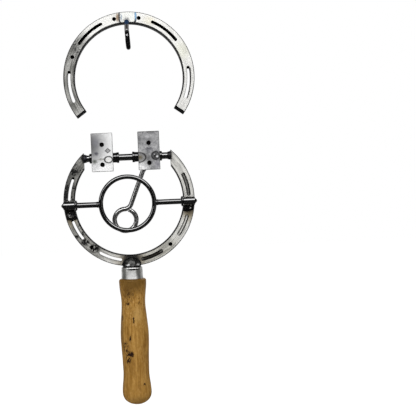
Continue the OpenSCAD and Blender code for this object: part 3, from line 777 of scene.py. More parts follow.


# Bar sleeve welds: heavy black weld below each pipe, run down over the face of the shoe.
# The left one ends in a round plug weld whose bright lip is a painted highlight, the right one in two drops
# of spatter painted bright as glints.
heavy_weld = weld_finish("heavy_weld", grey(0.006), (0.03, 0.028, 0.026), (0.012, 0.01, 0.008))
weld_y = lever_low.y - 0.4 * MM
row_wave = 1.2
wave_rate = 2.4
left_rows = ((87, 1.6, 2.6), (83.5, 1.0, 2.2), (80.5, 0.5, 1.9), (77.5, 0.2, 1.7), (75.5, 0.0, 1.3))
right_rows = ((87, 1.6, 2.6), (83.5, 0.9, 2.1), (81, 0.4, 1.7), (79.5, 0.1, 1.3))
for side, weld_node, rows in ((LEFT, "left_bar_sleeve_weld", left_rows),
                              (RIGHT, "right_bar_sleeve_weld", right_rows)):
    pools = []
    for angle, proud, thick in rows:
        for across in (56.8, 59.2, 61.6, 63.8):
            pool_at = on_lever(angle + row_wave * math.sin(across * wave_rate), across, side)
            pools.append((pool_at + Vector((0, weld_y - proud * MM, 0)), (1.9 * MM, thick * MM, 2.1 * MM)))
    mass = weld_row(pools, weld_node.replace("weld", "weld_mass"), 0.4 * MM, 0.6 * MM)
    mass.data.materials.append(heavy_weld)
    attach(mass, "lever")
    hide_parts(weld_node)

plug_at = Vector((-57.6 * MM, weld_y - 1.8 * MM, -58.6 * MM))
plug_stations = ((1.2, 3.1), (0.1, 3.0), (-0.3, 2.6), (-0.1, 2.1), (0.2, 1.5), (-0.1, 0.6))
plug_outline = [(depth * MM, radius * MM) for depth, radius in plug_stations]
plug = turn_along(Vector((0, 1, 0)), plug_at, plug_outline)
cap_ends(plug)
use_modifier(plug, "SUBSURF", levels=1, render_levels=1)
close_up(plug, "left_plug_weld", 60)
# Painted highlight: the plug weld's light colour makes its lumps glint.
plug.data.materials.append(weld_finish("plug_weld", grey(0.03), (0.85, 0.84, 0.82), (0.2, 0.18, 0.15)))
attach(plug, "lever")

drops = [(Vector((x * MM, weld_y - lift * MM, z * MM)), (0.9 * MM, 0.7 * MM, 0.8 * MM))
         for x, lift, z in ((63.2, 3.0, -53.0), (62.8, 2.1, -56.4))]
spatter = weld_row(drops, "right_weld_drops", 0.15 * MM, 0.1 * MM)
# Painted highlights: the drops are coloured near white as glints.
drop_glint = weld_finish("drop_glint", (0.6, 0.59, 0.57), (0.9, 0.89, 0.87), (0.5, 0.46, 0.4))
spatter.data.materials.append(drop_glint)
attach(spatter, "lever")


# Ring: round rod bent to a closed loop and painted gloss black, with a pivot bar welded on each side.
# Collars on the bars keep it in the middle of the lever; the bars' outer ends are pointed by the grinder.
ring_at = Vector((-0.1, 6.8, -49.172)) * MM
ring_r = 26.75 * MM
ring_rod_r = 2.35 * MM
deselect_all()
bpy.ops.mesh.primitive_circle_add(vertices=28, radius=ring_rod_r, location=ring_at + along_x * ring_r)
ring = set_in_mesh()
start_edit()
bpy.ops.mesh.spin(steps=144, angle=math.radians(360), center=ring_at, axis=(0, 1, 0))
end_edit()
close_up(ring, "ring_rod", 60)
ring_black = black_finish("ring_black", 0.15, 1.9)
ring.data.materials.append(ring_black)
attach(ring, "ring")
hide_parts("bottle_ring")

bar_r = 2.8 * MM
bar_tip_r = 1.0 * MM
bar_tip = 1.8 * MM
for side, bar_node in ((LEFT, "left_pivot_bar"), (RIGHT, "right_pivot_bar")):
    low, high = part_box(bar_node)
    foot, tip = sorted((abs(low.x - bar_at.x), abs(high.x - bar_at.x)))
    outline = [(foot, bar_r), (0.5 * (foot + tip), bar_r), (tip - bar_tip - lip, bar_r),
               (tip - bar_tip, bar_r - 0.5 * lip), (tip - lip, bar_tip_r + 0.5 * lip),
               (tip, 0.4 * bar_tip_r)]
    bar = turn_along(along_x * side, bar_at, outline, 40)
    cap_ends(bar)
    close_up(bar, bar_node.replace("pivot_bar", "bar_rod"))
    bar.data.materials.append(ring_black)
    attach(bar, "ring")
    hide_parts(bar_node)

collar_r = 5.2 * MM
collar_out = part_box("stop_collars")[1].x - bar_at.x
collar_in = collar_out - 2 * MM
outline = [(collar_in, bar_r), (collar_in, bar_r + 3 * lip), (collar_in + 1.2 * lip, collar_r - lip),
           (collar_in + 2.4 * lip, collar_r), (collar_out - lip, collar_r), (collar_out, collar_r - lip),
           (collar_out, bar_r), (collar_in, bar_r)]
collars = join_all([turn_along(along_x * side, bar_at, outline) for side in (RIGHT, LEFT)])
close_up(collars, "bar_collars")
collars.data.materials.append(pipe_black)
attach(collars, "ring")
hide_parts("stop_collars")

pools = []
for side in (LEFT, RIGHT):
    foot_at = ring_at + along_x * side * (ring_r + ring_rod_r)
    for reach_out, thick in ((-0.6, 2.9), (0.6, 3.3), (1.7, 3.0)):
        pools.append((foot_at + along_x * side * reach_out * MM, (1.2 * MM, thick * MM, thick * MM)))
foot_welds = weld_row(pools, "ring_weld_beads", 0.3 * MM, 0.25 * MM)
foot_welds.data.materials.append(black_finish("painted_weld", 0.4, 1.6))
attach(foot_welds, "ring")
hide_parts("ring_welds")


# Handle tang: a round steel head forged over the shoe's toe, ground back on the wall side to dull facets.
# Its spike goes down inside the wood; a weld bead runs round the head on both faces of the shoe.
def bead_round(centre, radius, count, pool_size):
    """Pools of weld in an arch over a centre, from 10 to 170 degrees."""
    pools = []
    for step in range(count):
        angle = math.radians(10 + 160 * step / (count - 1))
        across = radius * math.cos(angle)
        up = radius * math.sin(angle)
        pool_at = Vector((centre.x + across, centre.y, centre.z + up))
        pools.append((pool_at, (pool_size[0] * MM, pool_size[1] * MM, pool_size[2] * MM)))
    return pools


down = Vector((0, 0, -1))
handle_at = Vector((1.5, 14.95, 0)) * MM
toe_z = -112.172 * MM
head_at = Vector((handle_at.x, handle_at.y, toe_z))
head_r = 9.3 * MM
shoulder_z = toe_z - 3 * MM
toe_fit = 0.05 * MM
deselect_all()
bpy.ops.mesh.primitive_uv_sphere_add(segments=64, ring_count=32, radius=head_r, location=head_at)
tang = set_in_mesh()
facets = (((0.0, -1.0, 0.35), 0.93), ((0.55, -0.8, 0.25), 0.955), ((-0.6, -0.75, 0.3), 0.95),
          ((0.15, -0.75, 0.75), 0.96), ((-0.25, -0.6, 0.85), 0.965))
for facing, depth in facets:
    facing = Vector(facing).normalized()
    start_edit()
    bpy.ops.mesh.bisect(plane_co=head_at + facing * head_r * depth, plane_no=facing, use_fill=True,
                        clear_outer=True)
    end_edit()
start_edit()
bpy.ops.mesh.bisect(plane_co=(0, 0, shoulder_z), plane_no=(0, 0, 1), use_fill=True, clear_inner=True)
end_edit()
cut_away(tang, add_rod(shoe_r + toe_fit, Vector((lever_centre.x, lever_low.y - toe_fit, lever_centre.z)),
                       Vector((lever_centre.x, lever_high.y + toe_fit, lever_centre.z)), 256))
ease_edges(tang, 0.25 * MM, 2, 20)
close_up(tang, "tang_head", 25)
spike_r = 3.5 * MM
spike_top = -shoulder_z - MM
spike_end = 60 * MM - shoulder_z
spike = turn_along(down, handle_at, [(spike_top, 0.4 * spike_r), (spike_top, spike_r),
                                     (spike_end - 4 * MM, spike_r), (spike_end, 0.5 * spike_r)], 24)
cap_ends(spike)
close_up(spike, "tang_spike")

finish, shader, place = new_finish("tang_ground_steel", 0.5, 0.3)
patch = noise(place, 3.2 * MM, 4.0, rough=0.6)
scratch = noise(place, 0.5 * MM, 4.0, (10, 1, 1))
colour = over((0.012, 0.012, 0.011), (0.07, 0.07, 0.066), levels(patch, 0.42, 0.62))
colour = over(colour, grey(0.6), levels(scratch, 0.66, 0.76, 0.0, 0.6))
# Painted highlights: two glints low on the head.
for glint_x, glint_z in ((8.3, -110.6), (-2.6, -110.8)):
    glint_at = Vector((glint_x, 7, glint_z)) * MM
    colour = over(colour, grey(0.9), spot(place, glint_at, (2.6 * MM, 6 * MM, 1.2 * MM), 0.3, 3 * MM))
# Painted shade: the foot of the head turns black where it goes into the ferrule.
colour = over(colour, soot_and_shade, levels(axis_of(place, "Z"), toe_z + 0.6 * MM, toe_z - 0.2 * MM))
coat(shader, colour, levels(patch, 0.3, 0.7, 0.22, 0.45), scratch, 0.1 * MM, 0.6)
for piece in (tang, spike):
    piece.data.materials.append(finish)
    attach(piece, "lever")
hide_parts("handle_tang")

seat_r = 8.9 * MM
pools = []
for face_y in (lever_low.y, lever_high.y):
    pools += bead_round(Vector((handle_at.x, face_y, toe_z)), seat_r, 17, (1.2, 0.8, 1.2))
tang_beads = weld_row(pools, "tang_weld_beads", 0.3 * MM, 0.3 * MM)
tang_beads.data.materials.append(heavy_weld)
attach(tang_beads, "lever")
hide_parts("tang_weld")


# Ferrule: a short polished steel tube that keeps the top of the wood from splitting.
# It is rolled in at the mouth, with two fine turned lines, and pressed over the handle's neck.
ferrule_low, ferrule_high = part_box("ferrule")
top = -ferrule_high.z
foot = -ferrule_low.z
ferrule_r = 10.6 * MM
ferrule_foot_r = 11.0 * MM
ferrule_bore_r = 9.6 * MM
line_deep = 0.08 * MM
line_half = 0.3 * MM
outline = [(top + lip, ferrule_bore_r), (top, ferrule_bore_r + 0.4 * lip), (top, ferrule_r - 1.4 * lip),
           (top + 0.6 * lip, ferrule_r - 0.4 * lip), (top + 2 * lip, ferrule_r)]
for line_at in (2.2 * MM, 9.4 * MM):
    mid_r = ferrule_r + (ferrule_foot_r - ferrule_r) * line_at / (foot - top)
    outline += [(top + line_at - line_half, mid_r), (top + line_at, mid_r - line_deep),
                (top + line_at + line_half, mid_r)]
outline += [(foot - 0.5 * lip, ferrule_foot_r), (foot, ferrule_foot_r - 0.5 * lip), (foot, ferrule_bore_r),
            (top + lip, ferrule_bore_r)]
ferrule = turn_along(down, handle_at, outline, 64)
close_up(ferrule, "ferrule_tube", 40)
finish, shader, place = new_finish("ferrule_polish", 0.35, 0.25)
turned = noise(place, 0.4 * MM, 4.0, (16, 16, 1))
smear = noise(place, 8 * MM, 3.0)
colour = over((0.52, 0.52, 0.5), (0.66, 0.66, 0.64), levels(turned, 0.3, 0.65))
colour = over(colour, (0.36, 0.35, 0.33), levels(smear, 0.55, 0.75, 0.0, 0.4))
# Painted shade: dark vertical bands down both sides of the round tube.
for shade_band_x, shade_band_w, share in ((-8.2, 3.4, 0.8), (6.2, 3.6, 0.85), (10.2, 1.6, 0.3)):
    shade_band_at = handle_at + Vector((shade_band_x, -8, -119)) * MM
    band = spot(place, shade_band_at, (shade_band_w * MM, 9 * MM, 30 * MM), 0.3, MM)
    colour = over(colour, (0.1, 0.1, 0.09), times(band, share))
# Painted light at the mouth: a white highlight line over a black line of shade.
mouth_shading_half = (7.2 * MM, 8 * MM, 0.9 * MM)
for mouth_shading_z, mouth_shading_tint in ((0.7, (0.8, 0.8, 0.79)), (1.9, grey(0.003))):
    mouth_shading_at = handle_at + Vector((0.8 * MM, -ferrule_r, -top - mouth_shading_z * MM))
    colour = over(colour, mouth_shading_tint, spot(place, mouth_shading_at, mouth_shading_half, 0.75))
# Painted highlight: a bright sheen low on the front of the tube.
sheen_highlight_at = handle_at + Vector((0, -ferrule_r, -foot))
colour = over(colour, (0.92, 0.92, 0.91), spot(place, sheen_highlight_at, (7 * MM, 7 * MM, 9 * MM), 0.4))
coat(shader, colour, levels(smear, 0.3, 0.7, 0.22, 0.34), turned, 0.015 * MM, 0.5)
ferrule.data.materials.append(finish)
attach(ferrule, "lever")
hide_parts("ferrule")


# Wooden handle: one stick turned on the lathe, oiled to a golden brown and rounded at the butt.
# Its neck fits in the ferrule, the tang's spike is driven into it, and wear has left it a little uneven.
wood_top = 124.872 * MM
neck_top = wood_top - 8 * MM
neck_r = 9.55 * MM
mouth_r = 11.0 * MM
wood_stations = [(2.4, 13.8), (24.0, 12.1), (57.5, 14.25), (92.5, 13.0), (113.5, 14.6)]
wood_len = 126.5
shoulder_len, shoulder_r = wood_stations[0]
shoulder_steps = 6
wave_steps = 12
butt_steps = 14
butt_power = 2.6
outline = [(neck_top, 0.3 * neck_r), (neck_top, neck_r), (wood_top, neck_r)]
for step in range(shoulder_steps):
    t = step / shoulder_steps
    outline.append((wood_top + shoulder_len * t * MM,
                    mouth_r + (shoulder_r * MM - mouth_r) * math.sqrt(1 - (1 - t) ** 2)))
for (depth, radius), (next_depth, next_radius) in zip(wood_stations, wood_stations[1:]):
    for step in range(wave_steps):
        t = step / wave_steps
        swell = (1 - math.cos(math.pi * t)) / 2
        outline.append((wood_top + (depth + (next_depth - depth) * t) * MM,
                        (radius + (next_radius - radius) * swell) * MM))
butt_from, butt_r = wood_stations[-1]
for step in range(butt_steps):
    t = math.sin(math.pi / 2 * step / butt_steps)
    outline.append((wood_top + (butt_from + (wood_len - butt_from) * t) * MM,
                    butt_r * MM * math.sqrt(1 - t ** butt_power)))
outline.append((wood_top + wood_len * MM, 0.8 * MM))
wood = turn_along(down, handle_at, outline, 72)
cap_ends(wood)
wear = bpy.data.textures.new("handle_wear", "CLOUDS")
wear.noise_scale = 26 * MM
use_modifier(wood, "DISPLACE", texture=wear, texture_coords="LOCAL", strength=0.9 * MM, mid_level=0.5)
close_up(wood, "handle_stick", 50)

finish, shader, place = new_finish("oiled_wood", 0.0, 0.45, 0.15)
waver = add_node(place, "ShaderNodeTexNoise", Vector=place, Scale=30.0, Detail=2.0).outputs["Color"]
bent = vector_calc("MULTIPLY_ADD", waver, (6 * MM, 6 * MM, 0), place)[0]
grain = noise(bent, 1.6 * MM, 6.0, (1, 1, 18), 0.62)
fibre = noise(bent, 0.35 * MM, 4.0, (1, 1, 30), 0.7)
colour = over((0.25, 0.118, 0.016), (0.43, 0.235, 0.055), levels(grain, 0.3, 0.7))
colour = over(colour, (0.12, 0.055, 0.01), levels(fibre, 0.6, 0.74, 0.0, 0.5))
speck = noise(place, 1.9 * MM, 6.0, (1, 1, 1.8), 0.7)
rubbed_down = levels(axis_of(place, "Z"), -180 * MM, -150 * MM, 0.35, 1.0)
colour = over(colour, (0.56, 0.34, 0.12), times(levels(speck, 0.52, 0.64, 0.0, 0.6), rubbed_down))
colour = over(colour, (0.11, 0.046, 0.007), times(levels(speck, 0.47, 0.36, 0.0, 0.9), rubbed_down))
cloudy = noise(place, 9 * MM, 4.0, (1, 1, 2), 0.6)
colour = over(colour, (0.17, 0.075, 0.01), levels(cloudy, 0.52, 0.7, 0.0, 0.5))
# Patches laid on the wood: darker at the top and near the butt, painted shade along the left edge, and a
# painted highlight right of the middle.
wood_shades = [
    ((1.5, 5, -126), (24, 40, 20), (0.12, 0.06, 0.009), 0.9, 6),
    ((-4, 2, -138), (7, 14, 10), (0.1, 0.048, 0.008), 0.6, 6),
    ((5, 5, -160), (7, 14, 12), (0.5, 0.31, 0.1), 0.5, 4),
    ((-12, 8, -168), (4, 14, 40), (0.16, 0.085, 0.018), 0.6, 4),
    ((4, 5, -246), (14, 30, 9), (0.22, 0.12, 0.025), 0.6, 4),
]
for mark_at, reach, tint, strength, ragged in wood_shades:
    mark = spot(place, [c * MM for c in mark_at], [r * MM for r in reach], 0.2, ragged * MM)
    colour = over(colour, tint, times(mark, strength))
stroke = noise(place, 1.5 * MM, 3.0, (1, 1, 1.8), 0.6)
knot_dark = (0.02, 0.007, 0.003)
wood_knots = [
    ((-3.1, 1, -183.5), (1.3, 9, 4), 0.38),
    ((-8.1, 2, -193), (4, 9, 9), 0.46),
    ((-2.8, 1, -199), (3.6, 9, 4), 0.42),
    ((-6, 1, -203), (4, 9, 9), 0.46),
    ((1.1, 1, -164.7), (1.2, 9, 5), 0.42),
    ((-4.1, 1, -148.6), (2.4, 9, 3), 0.44),
    ((-1, 1, -139), (4.5, 9, 9), 0.53),
    ((-10.4, 4, -163), (1.6, 9, 6), 0.4),
    ((9, 3, -230), (1.6, 9, 2.2), 0.45),
]
for knot_at, reach, low in wood_knots:
    there = spot(place, [c * MM for c in knot_at], [r * MM for r in reach], 0.5, 2 * MM)
    colour = over(colour, knot_dark, times(there, levels(stroke, low, low + 0.07)))
coat(shader, colour, levels(grain, 0.3, 0.7, 0.36, 0.55), fibre, 0.12 * MM, 0.6)
wood.data.materials.append(finish)
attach(wood, "lever")
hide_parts("wooden_handle")


# Hanger: a second forged ring, toe up and open below, screwed to the wall above the plates.
# Its face is polished nearly white, grey on the left branch, and ground at the toe, where a weld blued it.
# Its two ends are sawn at a slant, so that their black cut faces show.
hanger_low, hanger_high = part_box("hanger_shoe")
hanger_centre = Vector((6.5 * MM, 0, 75.5 * MM))
hanger_r = 65 * MM
hanger_in_r = hanger_r - web_w
hanger_mid_r = hanger_r - web_w / 2
hanger_end = 126
screw_half = 12.2 * MM
screw_angle = math.degrees(math.asin(screw_half / hanger_mid_r))
hanger = sweep_section(hanger_centre, hanger_mid_r, web_w, hanger_low.y, hanger_high.y,
                       -hanger_end, hanger_end, TOE_UP, shoe_corner)
hanger_slots = [(25.5, 53.5, LEFT, slot_deep), (25.5, 53.5, RIGHT, slot_deep),
                (85, 111, LEFT, through), (85, 111, RIGHT, through)]
hanger_holes = [(screw_angle, LEFT, screw_hole_r), (screw_angle, RIGHT, screw_hole_r), (68, LEFT, nail_r),
                (83, LEFT, slot_end_r), (83, RIGHT, slot_end_r)]
cut_slots(hanger, hanger_centre, hanger_mid_r, TOE_UP, hanger_low.y, hanger_high.y,
          hanger_slots, hanger_holes)
wall_y = Vector((0, 1, 0))
saw_size = 20 * MM
for side, slant in ((LEFT, 2.0 * MM), (RIGHT, 2.5 * MM)):
    end_at = from_toe(hanger_centre, hanger_mid_r, hanger_end, side, TOE_UP)
    across = (end_at - hanger_centre).normalized()
    onward = across.cross(wall_y) * -side
    cut_along = (onward * slant + wall_y * (hanger_high.y - hanger_low.y)).normalized()
    facing = across.cross(cut_along) * -side
    saw = add_block(Vector((-1, -1, 0)) * saw_size, Vector((1, 1, 1)) * saw_size)
    saw_turn = Matrix((across * -side, cut_along, facing)).transposed().to_4x4()
    saw.matrix_world = Matrix.Translation(end_at + wall_y * hanger_low.y - onward * slant) @ saw_turn
    cut_away(hanger, saw)
hook_x = hanger_centre.x
hook_z = hanger_centre.z + hanger_in_r + MM
hook_r = 2.4 * MM
notch = Vector((hook_x, 0, hook_z))
notch_r = hook_r + 0.05 * MM
cut_away(hanger, add_rod(notch_r, notch - wall_y * MM, notch + wall_y * (hanger_high.y + MM)))
ease_edges(hanger, cut_edge, 1, 50)
cap_ends(hanger)
close_up(hanger, "hanger_ring", 12)


def on_hanger(angle, side):
    return from_toe(hanger_centre, hanger_mid_r, angle, side, TOE_UP)


patch_at = on_face(8, 135)
blue = (0.05, 0.12, 0.22)
hanger_shades = [
    (on_hanger(82, LEFT), 32, 56, (0.17, 0.17, 0.16), 1.0, 0.6, 3),
    (on_hanger(100, LEFT), 14, 40, (0.85, 0.85, 0.84), 1.0, 0.5, 3),
    (on_hanger(60, LEFT), 6, 10, (0.3, 0.3, 0.29), 0.9, 0.2, 5),
    (on_hanger(22, RIGHT), 9, 7, (0.9, 0.86, 0.74), 0.9, 0.2, 0),
    (on_hanger(66, RIGHT), 11, 13, (0.92, 0.93, 0.82), 0.9, 0.2, 0),
]
hanger_marks = [
    (patch_at + on_face(-10, 0), 3.0, 6, (0.2, 0.12, 0.05), 0.9, 0.3, 2),
    (patch_at + on_face(-0.4, 0), 9.4, 7.6, (0.012, 0.013, 0.02), 1.0, 0.9, 1, "square"),
    (patch_at + on_face(7.6, 1.5), 1.5, 6, (0.16, 0.32, 0.5), 1.0, 0.4, 1),
    (patch_at + on_face(-0.5, 0.9), 7.6, 7.4, (0.7, 0.71, 0.68), 1.0, 0.9, 1, "square"),
    (patch_at + on_face(-6.5, 0), 1.0, 5, blue, 0.7, 0.3, 1),
    (notch + on_face(0, 2), 4.4, 3.6, grey(0.22), 0.8, 0.4, 3),
]
hanger_pits = [(on_hanger(92, LEFT), 24, 50, 0.68, 0.78), (on_hanger(57, LEFT), 6, 8, 0.5, 0.6)]
# Painted shade along the hanger's rims and beside its through slots.
hanger_rims = [(hanger_in_r + 1.5 * MM, hanger_in_r + 1.0 * MM, 0.95),
               (hanger_r - 0.8 * MM, hanger_r - 0.5 * MM, 0.5)]
hanger_lines = [(84, 112, hanger_mid_r + 1.8 * MM, 0.7 * MM, 1.0),
                (84, 112, hanger_mid_r - 1.7 * MM, 0.5 * MM, 0.6),
                (-112, -95, hanger_mid_r - 1.7 * MM, 0.6 * MM, 0.9),
                (-112, -84, hanger_mid_r + 1.7 * MM, 0.5 * MM, 0.5)]
hanger_steel = shoe_finish("hanger_ring_steel", hanger_centre, TOE_UP,
                           (0.62, 0.615, 0.59), (0.78, 0.775, 0.75),
                           hanger_shades, hanger_marks, hanger_pits, hanger_rims, hanger_lines)
hanger.data.materials.append(hanger_steel)
# The hanger's blind slot floors take the same painted-shade black as the hole skins.
dark_rims(hanger, forge_scale, hole_shade_black, hanger_low.y, hanger_high.y)
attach(hanger, "wall_mount")
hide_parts("hanger_shoe")


# Hook: round rod let through the hanger's toe, ground flush on the wall side and bent to a cup in the room.
# It is blackened and blued at its root, with painted highlights in two places and faint lighter bands
# painted as glints, and held by one weld on the room side.
arm_end = 29 * MM
bend_r = 5 * MM
bend_at = Vector((hook_x, arm_end, hook_z - bend_r))
cup_r = 6 * MM
cup_at = Vector((hook_x, 40 * MM, hook_z - 10.2 * MM))
tip_rise = 4 * MM
tip_at = Vector((hook_x, cup_at.y + cup_r, cup_at.z + tip_rise))
tip_step = math.radians(15)
hook_lean = Matrix.Rotation(math.radians(-4), 4, "Y")
deselect_all()
bpy.ops.mesh.primitive_circle_add(vertices=32, radius=hook_r, location=notch,
                                  rotation=(math.radians(90), 0, 0))
hook = set_in_mesh()
start_edit()
draw_out((0, arm_end, 0))
bpy.ops.mesh.spin(steps=12, angle=math.radians(90), center=bend_at, axis=(1, 0, 0))
draw_out((0, 0, cup_at.z - bend_at.z))
bpy.ops.mesh.spin(steps=24, angle=math.radians(180), center=cup_at, axis=(-1, 0, 0))
draw_out((0, 0, tip_rise))
shrunk = 1.0
for step in range(1, 6):
    lift = tip_step * step
    draw_out((0, 0, hook_r * (math.sin(lift) - math.sin(lift - tip_step))))
    bpy.ops.transform.resize(value=(math.cos(lift) / shrunk,) * 3,
                             center_override=tip_at + Vector((0, 0, hook_r * math.sin(lift))))
    shrunk = math.cos(lift)
end_edit()
cap_ends(hook)
hook.matrix_world = Matrix.Translation(notch) @ hook_lean @ Matrix.Translation(-notch)
close_up(hook, "hook_rod", 50)
finish, shader, place = new_finish("hook_blacked_rod", 0.0, 0.18, 0.04)
band = noise(place, 1.5 * MM, 3.0, (3, 1, 1), 0.6)
# Faint lighter bands along the rod are painted glints.
colour = over(grey(0.004), (0.06, 0.06, 0.065), levels(band, 0.58, 0.66))
colour = over(colour, (0.012, 0.03, 0.07), spot(place, notch, (4 * MM, 5 * MM, 4 * MM), 0.3))
# Painted highlights: two glints on the arm and the bend.
glint_reach = (1.5 * MM, 3 * MM, 1.4 * MM)
for glint_y, glint_z in ((20, 127.8), (31.5, 125.2)):
    glint_at = (hook_x, glint_y * MM, glint_z * MM)
    colour = over(colour, (0.85, 0.85, 0.87), spot(place, glint_at, glint_reach, 0.4, 2 * MM))
coat(shader, colour, levels(band, 0.3, 0.7, 0.14, 0.34), band, 0.05 * MM, 0.6)
hook.data.materials.append(finish)
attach(hook, "wall_mount")
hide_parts("hanger_hook")

hook_seat_r = 3.2 * MM
pools = bead_round(notch + wall_y * (hanger_high.y + 0.5 * MM), hook_seat_r, 9, (1.3, 1.3, 1.3))
hook_bead = weld_row(pools, "hook_weld_bead", 0.3 * MM, 0.3 * MM)
hook_bead.data.materials.append(weld_scale)
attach(hook_bead, "wall_mount")
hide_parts("hook_weld")


# Corkscrew: one steel wire, bent to an eye at one end and wound to a worm with a sharp point at the other.
# It lies loose behind the ring; drawn marks run along the wire, and it is tarnished in patches.
def settle(t):
    t = min(max(t, 0.0), 1.0)
    return t * t * (3 - 2 * t)


def leaned(across, up, back):
    """A point of the corkscrew, in millimetres from the eye; it leans to the right."""
    x = across * math.cos(lean) + up * math.sin(lean)
    z = up * math.cos(lean) - across * math.sin(lean)
    return eye_at + Vector((x, -back, z)) * MM


def draw_wire(route, name):
    """A wire along a route of points, each with its own thickness."""
    wire = bpy.data.curves.new(name, "CURVE")
    wire.dimensions = "3D"
    wire.bevel_depth = MM
    wire.bevel_resolution = 6
    wire.use_fill_caps = True
    line = wire.splines.new("POLY")
    line.points.add(len(route) - 1)
    for point, (across, up, back, thick) in zip(line.points, route):
        point.co = (*leaned(across, up, back), 1)
        point.radius = thick
    drawn_piece = bpy.data.objects.new(name, wire)
    bpy.context.scene.collection.objects.link(drawn_piece)
    select_only(drawn_piece)
    bpy.ops.object.convert(target="MESH")
    return close_up(bpy.context.object, name, 60)


eye_at = Vector((-3.1, 41.43, -66.07)) * MM
lean = math.radians(22)
eye_r = 11.4
wire_r = 2.5
eye_bend_r = 8.0
eye_gap = 0.6
tip_gap = 0.2
tip_from = math.radians(-4)
tip_lap = 0.05
shank_len = 54.0
worm_r = 2.9
worm_wire_r = 1.7
worm_pitch = 8.5
worm_turns = 4
lead_in = 0.75
point_r = 0.35
point_turns = 1.1
eye_steps = 72
bend_steps = 14
shank_steps = 12
turn_steps = 36
tip_steps = 8
bend_far = eye_r + eye_bend_r
bend_a = math.asin(eye_bend_r / bend_far)
corner_r = eye_r + wire_r
end_far = eye_bend_r + wire_r + eye_gap
eye_from = math.acos((corner_r ** 2 + bend_far ** 2 - end_far ** 2) / (2 * corner_r * bend_far)) - bend_a
route = []
for step in range(eye_steps + 1):
    a = eye_from + (2 * math.pi - bend_a - eye_from) * step / eye_steps
    route.append((eye_r * math.sin(a), eye_r * math.cos(a), 0, wire_r))
shank_from = math.sqrt(bend_far ** 2 - eye_bend_r ** 2)
for step in range(1, bend_steps + 1):
    a = (math.pi / 2 - bend_a) * (1 - step / bend_steps)
    route.append((eye_bend_r * (math.cos(a) - 1), shank_from - eye_bend_r * math.sin(a), 0, wire_r))
for step in range(1, shank_steps):
    route.append((0, shank_from + (shank_len - shank_from) * step / shank_steps, 0, wire_r))
for step in range(worm_turns * turn_steps + 1):
    turn = step / turn_steps
    begun = settle(turn / lead_in)
    out = worm_r * begun
    thick = wire_r + (worm_wire_r - wire_r) * begun
    thick = point_r + (thick - point_r) * settle((worm_turns - turn) / point_turns)
    a = 2 * math.pi * turn
    route.append((out * math.sin(a), shank_len + worm_pitch * turn, out * math.cos(a), thick))
corkscrew = draw_wire(route, "corkscrew_wire")
tip_route = []
for step in range(tip_steps + 1):
    a = tip_from + (eye_from + tip_lap - tip_from) * step / tip_steps
    tip_route.append((eye_r * math.sin(a), eye_r * math.cos(a), 0, wire_r * 0.998))
eye_tip = draw_wire(tip_route, "eye_tip")
bend_mid = (-eye_bend_r, shank_from)
bend_clear_r = (eye_bend_r + wire_r + tip_gap) * MM
cut_away(eye_tip, add_rod(bend_clear_r, leaned(*bend_mid, 5), leaned(*bend_mid, -5), 96))
use_modifier(corkscrew, "BOOLEAN", operation="UNION", solver="EXACT", object=eye_tip)
bpy.data.objects.remove(eye_tip)
close_up(corkscrew, "corkscrew_wire", 40)
finish, shader, place = new_finish("drawn_wire", 0.95, 0.2)
along_wire = add_node(place, "ShaderNodeMapping", Vector=place, Rotation=(0, -lean, 0)).outputs[0]
drawn = noise(along_wire, 0.5 * MM, 4.0, (1, 1, 20), 0.6)
tarnish = noise(place, 4 * MM, 4.0)
colour = over(grey(0.42), (0.72, 0.72, 0.71), levels(drawn, 0.36, 0.62))
colour = over(colour, (0.14, 0.135, 0.13), levels(tarnish, 0.55, 0.72, 0.0, 0.25))
coat(shader, colour, levels(tarnish, 0.3, 0.7, 0.12, 0.22), drawn, 0.02 * MM, 0.4)
corkscrew.data.materials.append(finish)
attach(corkscrew, "loose_corkscrew")
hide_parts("corkscrew")


# Stage: a pale floor under the set and a white surround, seen plainly at a strength of one.
# Mirror rays see them white behind the set and dim in front, so that the black pieces stay black.
# A softbox hangs above the camera, a strip and a small lamp stand beside it, and one lamp is in the room.
def between(low, high, share):
    mix = add_node(share, "ShaderNodeMix")
    for index, value in ((0, share), (2, low), (3, high)):
        feed(mix.inputs[index], value)
    return mix.outputs[0]


def ray_kinds(near):
    """Two shares: of rays that see the stage plainly, and of rays that see it in a mirror."""
    rays = add_node(near, "ShaderNodeLightPath").outputs
    return calc("MAXIMUM", rays["Is Camera Ray"], rays["Is Transmission Ray"]), rays["Is Glossy Ray"]


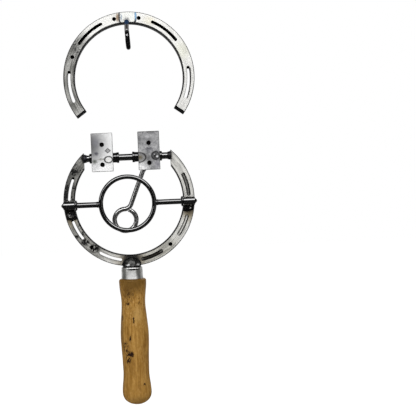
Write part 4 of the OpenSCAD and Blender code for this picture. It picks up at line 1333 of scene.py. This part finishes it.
front_dim = 0.012
soft_light = 0.3
floor_z = -0.275
floor_lit = 0.9
floor_seen = 0.2
floor_mirrored = 0.02
floor_glow = 0.95
deselect_all()
bpy.ops.mesh.primitive_plane_add(size=6, location=(0, 0, floor_z))
floor = bpy.context.object
floor.name = "pale_floor"
floor_finish = bpy.data.materials.new("pale_floor")
floor_finish.use_nodes = True
floor.data.materials.append(floor_finish)
floor_out = floor_finish.node_tree.nodes["Material Output"]
seen, mirror = ray_kinds(floor_out)
floor_place = add_node(floor_out, "ShaderNodeTexCoord").outputs["Object"]
behind = levels(axis_of(floor_place, "Y"), 0.1, 1.2, front_dim, 1.0)
tone = between(between(floor_lit, floor_seen, seen), floor_mirrored, mirror)
matt = add_node(floor_out, "ShaderNodeBsdfDiffuse", Color=tone)
shining = calc("ADD", times(seen, floor_glow), times(mirror, behind))
glow = add_node(floor_out, "ShaderNodeEmission", Color=(1, 1, 1, 1), Strength=shining)
both = add_node(floor_out, "ShaderNodeAddShader")
feed(both.inputs[0], matt.outputs[0])
feed(both.inputs[1], glow.outputs[0])
feed(floor_out.inputs["Surface"], both.outputs[0])

world = bpy.context.scene.world or bpy.data.worlds.new("surround")
bpy.context.scene.world = world
world.use_nodes = True
surround = world.node_tree.nodes["Background"]
surround.inputs["Color"].default_value = (1, 1, 1, 1)
seen, mirror = ray_kinds(surround)
facing = add_node(surround, "ShaderNodeTexCoord").outputs["Generated"]
mirrored = levels(axis_of(facing, "Y"), 0.75, 1.0, front_dim, 1.0)
feed(surround.inputs["Strength"], between(between(soft_light, mirrored, mirror), 1.0, seen))

lamp_aim = Vector((0, 0, -0.05))
lamps = (
    ("softbox_lamp", (0.0, -1.0, 0.72), (1.7, 0.7), 14.0),
    ("strip_lamp", (0.6, -0.8, -0.1), (0.1, 0.8), 0.3),
    ("side_lamp", (-0.79, -0.46, 0.28), (0.25, 0.4), 1.0),
    ("room_lamp", (0.3, 0.9, 0.6), (0.8, 0.8), 3.0),
)
for lamp_name, lamp_at, lamp_size, lamp_power in lamps:
    bpy.ops.object.light_add(type="AREA", location=lamp_at)
    lamp = bpy.context.object
    lamp.name = lamp_name
    lamp.data.shape = "RECTANGLE"
    lamp.data.size = lamp_size[0]
    lamp.data.size_y = lamp_size[1]
    lamp.data.energy = lamp_power
    lamp.rotation_euler = (lamp_aim - Vector(lamp_at)).to_track_quat("-Z", "Y").to_euler()
